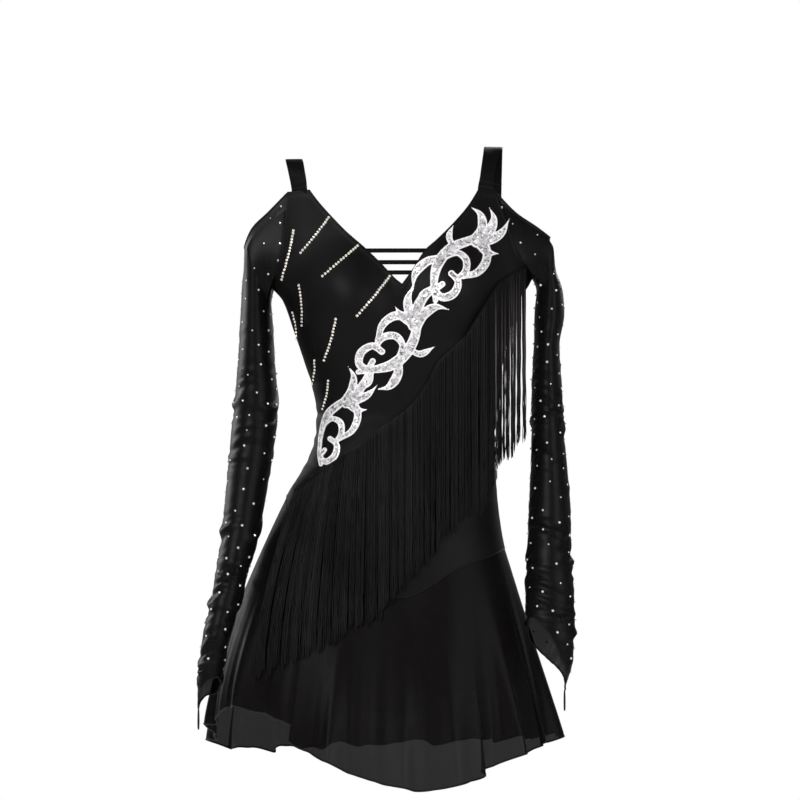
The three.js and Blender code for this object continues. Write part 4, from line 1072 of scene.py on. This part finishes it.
class MakeSkirt(bpy.types.Operator):
    """Make the sheer skirt and its rolled hem"""
    bl_idname = "dress.skirt"
    bl_label = "Skirt"

    def execute(self, context):
        cloth = sizes().sheer_cloth / MM
        for name, (angles, columns, side, flat, area) in SKIRT_PANELS.items():
            grid = skirt_grid(np.linspace(*angles, columns + 1))
            outer = grid + grid_normals(grid) * cloth
            FACES["skirt_" + name] = (outer, grid_normals(outer))
            skirt = shell(f"skirt_{name}_chiffon", grid, outer)
            settle(skirt, "chiffon", "chiffon", "skirt_" + name)
            hem = tube(f"skirt_{name}_rolled_hem", (grid[:, -1] + outer[:, -1]) / 2, CORDS["hem"])
            seam = tube(f"skirt_{side}_side_seam", grid[0], CORDS["side"], 6)
            for trim in (hem, seam):
                settle(trim, "cord", "chiffon")
        return {"FINISHED"}


class MakeBriefs(bpy.types.Operator):
    """Make the briefs under the skirt"""
    bl_idname = "dress.briefs"
    bl_label = "Briefs"

    def execute(self, context):
        cloth = sizes().brief_cloth / MM
        for name, line, start, end, toward, area in (
            ("front", FRONT_LEG_LINE, -89, 89, -1, 0.062), ("back", BACK_LEG_LINE, 91, 269, 1, 0.072),
        ):
            grid = torso_grid(seam_places(start, end, 90), spaced(line, 90), np.linspace(0, 1, 37), toward)
            facing = grid_normals(grid)
            inner, outer = grid - facing * (BRIEF_GAP + cloth), grid - facing * BRIEF_GAP
            panel = shell(f"brief_{name}_cloth", inner, outer)
            settle(panel, "stretch", "stretch_cloth", "brief_" + name)
        edge = [torso(np.linspace(*angles, 21), np.full(21, z)) for z, angles in GUSSET_ENDS]
        heights = [z for z, _ in GUSSET_ENDS]
        middle = [torso(np.array([angle]), np.array([z]))[0, 0] for angle, z in zip((0.0, 180.0), heights)]
        inside = BRIEF_GAP + cloth / 2
        t = np.linspace(0, 1, 33)[None, :]
        sag = np.sin(t * np.pi)
        centre = lerp(*middle, t)
        x = centre + (lerp(edge[0][:, :1], edge[1][:, :1], t) - centre) * lerp(1, GUSSET_NARROW, sag)
        y = lerp(edge[0][:, 1:2] + inside, edge[1][:, 1:2] - inside, t)
        z = lerp(lerp(*heights, t) - SEAM_GAP - cloth / 2, GUSSET_SAG, np.maximum(sag, 0) ** 0.8)
        grid = np.stack([x, y, np.broadcast_to(z, x.shape)], -1)
        half = grid_normals(grid) * cloth / 2
        gusset = shell("brief_gusset_cloth", grid - half, grid + half)
        settle(gusset, "stretch", "stretch_cloth", "brief_gusset")
        return {"FINISHED"}


class MakeSleeves(bpy.types.Operator):
    """Make the net sleeves, their bound edges and the finger loops"""
    bl_idname = "dress.sleeves"
    bl_label = "Sleeves"

    def execute(self, context):
        cloth = sizes().net_cloth / MM
        for side, (flat, area) in SLEEVE_CUTS.items():
            grid, sign = sleeve_grid(side)
            facing = grid_normals(grid, closed=True) * sign
            grid = grid + facing * sleeve_creases(grid, side)[..., None]
            facing = grid_normals(grid, closed=True) * sign
            half = facing * cloth / 2
            FACES["sleeve_" + side] = (grid + half, facing)
            sleeve = shell(f"sleeve_{side}_net", grid - half, grid + half, closed=True)
            parts = [f"sleeve_{side}_{part}" for part in ("upper", "middle", "lower")]
            settle(sleeve, "net", "net", *parts)
            cuff = tube(f"sleeve_{side}_cuff_edge", grid[:, -1], CORDS["cuff"], closed=True)
            shoulder = tube(f"sleeve_{side}_shoulder_edge", grid[:, 0], CORDS["shoulder"], closed=True)
            for edge in (cuff, shoulder):
                settle(edge, "cord", "elastic")
            t = np.linspace(0, 2 * np.pi, 64, endpoint=False)
            x, y, z = FINGER_LOOPS[side]
            half_width, half_height = FINGER_LOOP_SIZE
            swell = half_width * np.sin(t) * np.abs(np.sin(t / 2)) ** 0.6
            line = np.stack([np.full(len(t), float(x)), y + swell, z - half_height * (1 - np.cos(t))], -1)
            loop = tube(f"finger_loop_{side}_elastic", line, CORDS["loop"], 10, closed=True)
            settle(loop, "cord", "elastic", "finger_loop_" + side)
        return {"FINISHED"}


def front_reach():
    """How far forward the bodice and skirt reach, seen from the front, on a grid of cells."""
    cell = 2.0
    low = np.array([-260.0, -800.0])
    reach = np.full((260, 400), np.inf)
    for name in ("bodice_front", "skirt_front"):
        outer = FACES[name][0]
        for u in (0, 0.5):
            for v in (0, 0.5):
                near = lerp(outer[:-1], outer[1:], u)
                points = lerp(near[:, :-1], near[:, 1:], v).reshape(-1, 3)
                at = np.round((points[:, [0, 2]] - low) / cell).astype(int)
                np.minimum.at(reach, (at[:, 0], at[:, 1]), points[:, 1])
    spread = np.stack([np.roll(reach, (a, b), (0, 1)) for a in (-1, 0, 1) for b in (-1, 0, 1)]).min(0)

    def query(x, z):
        return spread[np.round((x - low[0]) / cell).astype(int), np.round((z - low[1]) / cell).astype(int)]

    return query


def tape_grid():
    """The tape's back, by column and row from its upper edge, and its facing."""
    dense = np.linspace(TAPE_LINE[-1][0], TAPE_LINE[0][0], 400)
    turns = torso_angle(dense, tape_line(dense)[:, 0])
    x = np.interp(np.linspace(turns[0], turns[-1], 260), turns, dense)
    z = tape_line(x)[:, 0]
    slope = np.gradient(z, x)
    rise = TAPE_WIDTH / np.hypot(1, slope)
    share = np.linspace(1, 0, 7)[None, :]
    across = (slope * rise * 0.6)[:, None]
    across[[0, -1]] = 0
    return front_face(x[:, None] - across * share, z[:, None] + rise[:, None] * share, LIFTS["tape"])


def strand_paths(count, chance):
    """Each strand's points from root to end, their x at the root, and the number of each strand's bundle."""
    x = np.sort(np.linspace(*FRINGE_SPAN, count) + chance.uniform(*VARY["root"], count))
    swing = SWING["most"] * ramp((SWING["starts"] - x) / (SWING["starts"] - FRINGE_SPAN[0])) ** 1.2
    top = tape_line(x)[:, 0] + ROOT_HEIGHT
    end = fringe_ends(x + swing)[:, 0] + chance.uniform(*VARY["end"], count)
    bundle = np.cumsum(chance.uniform(0, 1, count) < BUNDLE_CHANCE)
    bundles = bundle[-1] + 1
    middles = np.bincount(bundle, x) / np.maximum(np.bincount(bundle), 1)
    pull = (middles[bundle] - x) * chance.uniform(*VARY["pull"], bundles)[bundle]
    end = end + chance.uniform(*VARY["bundle_end"], bundles)[bundle]
    wander = chance.uniform(*VARY["wander"], count) + chance.uniform(*VARY["bundle_wander"], bundles)[bundle]
    t = np.linspace(0, 1, STRAND_CHECKS)[:, None]
    path_z = lerp(top, end, t)
    turns = t * (top - end) / chance.uniform(*VARY["wave"], count) + chance.uniform(0, 1, count)
    path_x = x + swing * (1 - (1 - t) ** SWING["eases"]) + pull * t ** 0.7 + wander * t ** 2
    path_x = path_x + WAVE_DEPTH * np.sin(2 * np.pi * turns) * t

    # A strand hangs in front of all that it passes.
    reach = front_reach()
    ply = chance.uniform(*VARY["ply"], count)
    path_y = np.empty_like(path_x)
    path_y[0] = front_face(x, top, LIFTS["root"])[0][:, 1]
    for k in range(1, STRAND_CHECKS):
        path_y[k] = np.minimum(path_y[k - 1], reach(path_x[k], path_z[k]) - LIFTS["strand"] - ply)
    pick = np.round(np.linspace(0, 1, STRAND_POINTS) ** 1.25 * (STRAND_CHECKS - 1)).astype(int)
    return np.stack([path_x[pick], path_y[pick], path_z[pick]], -1).transpose(1, 0, 2), x, bundle


class MakeFringe(bpy.types.Operator):
    """Make the fringe: a tape, and strands that hang from it"""
    bl_idname = "dress.fringe"
    bl_label = "Fringe"

    def execute(self, context):
        point, facing = tape_grid()
        tape = shell("fringe_tape", point, point + facing * TAPE_THICK)
        settle(tape, "stretch", "fringe_yarn")

        count, steps = sizes().strand_count, STRAND_POINTS
        chance = np.random.default_rng(11)
        paths, x, bundle = strand_paths(count, chance)
        index = np.arange(count * steps).reshape(count, steps)
        edges = np.stack([index[:, :-1], index[:, 1:]], -1).reshape(-1, 2)
        seed = bpy.data.meshes.new("strand_lines")
        seed.from_pydata((paths.reshape(-1, 3) * MM).tolist(), edges.tolist(), [])

        shared = chance.uniform(0, 1, bundle[-1] + 1)[bundle] ** 2
        tone = DULL_TONE * (BUNDLE_PART * shared + STRAND_PART * chance.uniform(0, 1, count) ** 2)
        # Painted highlight: some strands towards the left underarm are made far lighter along their middle,
        # standing in for light caught on the yarn.
        glint_painted_on = (x > GLINT_PAINTED_FROM) & (chance.uniform(0, 1, count) < GLINT_PAINTED_CHANCE)
        painted_glint = np.sin(np.linspace(0, np.pi, steps)) ** 2
        tone = tone[:, None] + np.outer(glint_painted_on * chance.uniform(*VARY["painted_glint"], count), painted_glint)
        set_attribute(seed, "tone", "FLOAT", tone)
        taper = np.ones(steps)
        taper[-1] = 0.55
        set_attribute(seed, "thick", "FLOAT", np.outer(chance.uniform(*VARY["thick"], count), taper))
        values = {"Radius": sizes().strand_radius, "Sides": 4, "Material": finish_of("yarn")}
        strands = grown("fringe_strands", seed, strands_tree(), values, {"thick"})
        settle(strands, None, "fringe_yarn", "fringe")
        return {"FINISHED"}


def scroll_field():
    """The applique's flat outline as a signed distance on a grid, and the grid's places."""
    cell = sizes().applique_cell / MM
    axis = catmull_rom(SCROLL_AXIS, AXIS_STEPS)
    heading = unit(np.gradient(axis, axis=0))
    t = np.linspace(0, 1, STROKE_STEPS + 1)
    full_at = 0.45
    strokes = []
    for start, end, size, side, count in SCROLL_UNITS:
        for widths, points in SCROLL_UNIT[:count]:
            along, across = np.array(points, float).T
            at = np.round(np.clip(lerp(start, end, along / SCROLL_SPAN), 0, 1) * AXIS_STEPS).astype(int)
            aside = np.stack([-heading[at, 1], heading[at, 0]], -1)
            middle = catmull_rom(axis[at] + aside * (across * size * side)[:, None], STROKE_STEPS)
            first, full, last = np.array(widths) * size / 2
            narrowing = lerp(full, last, ramp((t - full_at) / (1 - full_at)) ** 1.2)
            radius = np.where(t < full_at, lerp(first, full, ramp(t / full_at)), narrowing)
            strokes.append((middle, radius))
    low = np.min([middle.min(0) for middle, _ in strokes], axis=0) - FIELD_MARGIN
    high = np.max([middle.max(0) for middle, _ in strokes], axis=0) + FIELD_MARGIN
    shape = np.ceil((high - low) / cell).astype(int) + 1
    x, z = np.meshgrid(*(at + cell * np.arange(many) for at, many in zip(low, shape)), indexing="ij")
    field = np.full(x.shape, 99.0)
    for middle, radius in strokes:
        first = np.maximum(((middle.min(0) - STROKE_MARGIN - low) / cell).astype(int), 0)
        last = np.ceil((middle.max(0) + STROKE_MARGIN - low) / cell).astype(int)
        part = (slice(first[0], last[0]), slice(first[1], last[1]))
        gap = np.hypot(x[part][..., None] - middle[:, 0], z[part][..., None] - middle[:, 1]) - radius
        found = gap.min(-1)
        blend = np.clip(0.5 + 0.5 * (field[part] - found) / SCROLL_BLEND, 0, 1)
        field[part] = lerp(field[part], found, blend) - SCROLL_BLEND * blend * (1 - blend)
    return x, z, field, cell


def scroll_mesh(x, z, field, cell):
    """The applique's faces and rim edges on the grid's places, and those places moved onto the outline."""
    kept = field < 0.35 * cell
    whole = kept[:-1, :-1] & kept[1:, :-1] & kept[:-1, 1:] & kept[1:, 1:]
    quads = grid_quads(np.arange(x.size).reshape(x.shape))[whole.ravel()]
    edges = np.concatenate([quads[:, [k, (k + 1) % 4]] for k in range(4)])
    keys = edges[:, 0] * x.size + edges[:, 1]
    outer = edges[~np.isin(keys, edges[:, 1] * x.size + edges[:, 0])]
    rim = np.unique(outer)
    slope_x, slope_z = np.gradient(field, cell)
    steep = np.maximum(slope_x ** 2 + slope_z ** 2, 0.2)
    move = np.stack([(field * slope_x / steep).ravel(), (field * slope_z / steep).ravel()], -1)
    flat = np.stack([x.ravel(), z.ravel()], -1)
    flat[rim] -= np.clip(move[rim], -cell, cell)
    deep = -field.ravel()
    deep[rim] = 0
    return quads, outer, flat, deep


class MakeApplique(bpy.types.Operator):
    """Make the silver applique and its sequins"""
    bl_idname = "dress.applique"
    bl_label = "Applique"

    def execute(self, context):
        x, z, field, cell = scroll_field()
        quads, outer, flat, deep = scroll_mesh(x, z, field, cell)
        cord_share = 1 - ramp((deep - CORD["ends"]) / CORD["fades"])
        bead = np.sqrt(np.clip(1 - ((deep - CORD["middle"]) / CORD["half"]) ** 2, 0, 1))
        height = SCROLL_LIFT + np.maximum(CORD["height"] * bead * cord_share, SCROLL_FILL * (1 - cord_share))
        used = np.unique(quads)
        count = len(used)
        number = np.full(x.size, -1)
        number[used] = np.arange(count)
        laid, level = wrapped(*flat[used].T), flat[used, 1]
        above = front_face(laid, level, SCROLL_LIFT + height[used])[0]
        below = front_face(laid, level, SCROLL_BACK)[0]
        start, end = number[outer[:, 0]], number[outer[:, 1]]
        faces = [
            number[quads], number[quads][:, ::-1] + count,
            np.stack([end, start, start + count, end + count], -1),
        ]
        piece = finish_mesh("applique_scrollwork", np.concatenate([above, below]), np.vstack(faces))
        set_attribute(piece.data, "cord", "FLOAT", np.concatenate([cord_share[used]] * 2))
        settle(piece, "silver", "silver_applique", "applique")

        chance = np.random.default_rng(5)
        width = sizes().sequin_width
        pitch = width / MM * 0.8
        rows, columns = int(x.shape[0] * cell / pitch), int(x.shape[1] * cell / (pitch * 0.87))
        a, b = np.meshgrid(np.arange(rows), np.arange(columns), indexing="ij")
        place_x = x[0, 0] + (a + 0.5 * (b % 2)) * pitch + chance.uniform(-0.3, 0.3, a.shape)
        place_z = z[0, 0] + b * pitch * 0.87 + chance.uniform(-0.3, 0.3, a.shape)
        i = np.clip(np.round((place_x - x[0, 0]) / cell).astype(int), 0, x.shape[0] - 1)
        j = np.clip(np.round((place_z - z[0, 0]) / cell).astype(int), 0, x.shape[1] - 1)
        inside = (field[i, j] < -SEQUINS_INSIDE) & (chance.uniform(0, 1, a.shape) < 0.85)
        laid, level = wrapped(place_x[inside], place_z[inside]), place_z[inside]
        point, facing = front_face(laid, level, LIFTS["sequin"])
        tilt = unit(facing + chance.normal(0, 0.22, facing.shape))
        sequins = scattered("applique_sequins", "sequin", "sequin", point, tilt, np.ones(len(point)),
                            (width, width, SEQUIN_HEIGHT))
        settle(sequins, None, "silver_applique")
        return {"FINISHED"}


class MakeStones(bpy.types.Operator):
    """Make the stones on the bodice and on both sleeves"""
    bl_idname = "dress.stones"
    bl_label = "Stones"

    def execute(self, context):
        chance = np.random.default_rng(3)
        width, gap = sizes().stone_width, sizes().stone_gap / MM
        places = []
        for start, end in STONE_ROWS:
            start, end = np.array(start, float), np.array(end, float)
            count = int(np.linalg.norm(end - start) / STONE_PITCH) + 1
            line = lerp(start, end, np.linspace(0, 1, count)[:, None])
            bow = np.sin(np.linspace(0, np.pi, count))[:, None] * np.array([STONE_BOW])
            places.append(line + bow + chance.uniform(-0.25, 0.25, line.shape))
        places = np.vstack(places)
        point, facing = front_face(*places.T, LIFTS["stone"])
        shape = (width, width, width * 0.42)
        gold = scattered("bodice_stones", "stone", "gold_stone", point, facing,
                         chance.uniform(1.0, 1.14, len(point)), shape)
        settle(gold, None, "silver_applique")
        for side in ("right", "left"):
            outer, facing = FACES["sleeve_" + side]
            points, ways = (face[:, BARE_ROWS:-BARE_ROWS].reshape(-1, 3) for face in (outer, facing))
            chosen = []
            for k in chance.permutation(len(points))[:STONE_TRIES]:
                if np.all(np.sum((points[chosen] - points[k]) ** 2, axis=1) >= gap ** 2):
                    chosen.append(k)
            ways = ways[chosen]
            place = points[chosen] + ways * LIFTS["sleeve_stone"]
            stones = scattered(f"sleeve_{side}_stones", "stone", "silver_stone", place, ways,
                               chance.choice([0.6, 0.78, 0.95], len(ways)), shape)
            settle(stones, None, "net")
        return {"FINISHED"}


class MakeStitching(bpy.types.Operator):
    """Make the stitches of the edges and the strap joins, and the piping of the waist seam"""
    bl_idname = "dress.stitching"
    bl_label = "Stitching"

    def execute(self, context):
        pitch = sizes().stitch_pitch / MM
        points, facings, alongs = [], [], []

        def sew(line, facing):
            point = along_line(line, pitch)
            nearest = np.argmin(((point[:, None] - line[None]) ** 2).sum(-1), axis=1)
            points.append(point)
            facings.append(facing[nearest])
            alongs.append(unit(np.gradient(point, axis=0)))

        for name in ("bodice_front", "bodice_back"):
            outer, facing = FACES[name]
            row = np.argmin(np.abs(arc(outer, 1) - STITCH_LINE), axis=1)
            columns = np.arange(len(row))
            sew(outer[columns, row] + facing[columns, row] * LIFTS["stitch"], facing[columns, row])
        for side in ("right", "left"):
            inner, outer, facing = FACES["strap_" + side]
            for at in STRAP_SEWN:
                for face, way in ((outer, 1), (inner, -1)):
                    sew(face[:, at], np.broadcast_to(facing[at] * way, face[:, at].shape))
        shape = (STITCH_WIDTH, sizes().stitch_length, STITCH_HEIGHT)
        stitches = scattered("edge_stitches", "stitch", "thread", np.vstack(points), np.vstack(facings),
                             np.ones(sum(map(len, points))), shape, np.vstack(alongs))
        settle(stitches, None, "stretch_cloth")
        for name, start, end, toward in (("front", -90, 90, -1), ("back", 90, 270, 1)):
            angle, z = seam_places(start, end, 240).T
            line = torso(angle, z)
            line[:, 1] += toward * SEAM_GAP / 2
            facing = unit(np.cross(np.gradient(line, axis=0), torso(angle, z + 4) - torso(angle, z - 4)))
            piping = tube(f"waist_{name}_piping", line + facing * LIFTS["piping"], CORDS["piping"], 6)
            settle(piping, "cord", "stretch_cloth")
        return {"FINISHED"}


class MakeStage(bpy.types.Operator):
    """Make the floor, the lights and the camera"""
    bl_idname = "dress.stage"
    bl_label = "Stage"

    def execute(self, context):
        scene = context.scene
        bpy.ops.mesh.primitive_circle_add(vertices=96, radius=2.8, fill_type="NGON", location=(0, 0, 0))
        floor = context.active_object
        floor.name = "floor"
        for vertex in floor.data.vertices:
            vertex.co.z = FLOOR
        pale = (0.86, 0.86, 0.86, 1)
        finish = new_material("pale_floor", Roughness=0.9, Specular_IOR_Level=0.1, Base_Color=pale)[0]
        floor.data.materials.append(finish)

        world = bpy.data.worlds.new("studio")
        world.use_nodes = True
        scene.world = world
        nodes = world.node_tree
        soft = nodes.nodes["Background"]
        soft.inputs["Color"].default_value = (1, 1, 1, 1)
        soft.inputs["Strength"].default_value = 0.16
        bright = add_node(nodes, "ShaderNodeBackground", {"Color": (1, 1, 1, 1), "Strength": 1.0})
        seen = add_node(nodes, "ShaderNodeLightPath")
        both = add_node(nodes, "ShaderNodeMixShader", {
            0: seen.outputs["Is Camera Ray"], 1: soft.outputs[0], 2: bright.outputs[0]})
        nodes.links.new(both.outputs[0], nodes.nodes["World Output"].inputs["Surface"])

        for name, (place, aim, size, power) in LAMPS.items():
            light = bpy.data.lights.new(name, "AREA")
            light.size, light.energy = size, power
            lamp = linked(name, light)
            lamp.location = place
            x, y, z = np.subtract(aim, place)
            lamp.rotation_euler = (math.pi / 2 + math.atan2(z, math.hypot(x, y)), 0, math.atan2(-x, y))

        camera = bpy.data.cameras.new("camera")
        camera.sensor_width = 36
        camera.lens = LENS
        eye = linked("camera", camera)
        eye.location = EYE
        eye.rotation_euler = (math.pi / 2, 0, 0)
        scene.camera = eye
        scene.view_settings.view_transform = "Standard"
        return {"FINISHED"}


OPERATORS = (
    MakeBodice, MakeStraps, MakeNeckBars, MakeSkirt, MakeBriefs, MakeSleeves, MakeFringe, MakeApplique,
    MakeStones, MakeStitching, MakeStage,
)


class DressPanel(bpy.types.Panel):
    """Lists the dress's pieces in the sidebar"""
    bl_idname = "VIEW3D_PT_dress"
    bl_label = "Figure skating dress"
    bl_space_type = "VIEW_3D"
    bl_region_type = "UI"
    bl_category = "Dress"

    def draw(self, context):
        for group in (context.scene.dress_sizes, context.scene.dress_colours):
            for key in group.__annotations__:
                self.layout.prop(group, key)
        for operator in OPERATORS:
            self.layout.operator(operator.bl_idname)


CLASSES = (DressSizes, DressColours, *OPERATORS, DressPanel)


def register():
    for made in CLASSES:
        bpy.utils.register_class(made)
    bpy.types.Scene.dress_sizes = bpy.props.PointerProperty(type=DressSizes)
    bpy.types.Scene.dress_colours = bpy.props.PointerProperty(type=DressColours)


def unregister():
    del bpy.types.Scene.dress_colours
    del bpy.types.Scene.dress_sizes
    for made in reversed(CLASSES):
        bpy.utils.unregister_class(made)


def main():
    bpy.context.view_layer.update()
    register()
    for operator in OPERATORS:
        group, name = operator.bl_idname.split(".")
        getattr(getattr(bpy.ops, group), name)()


if __name__ == "__main__":
    main()
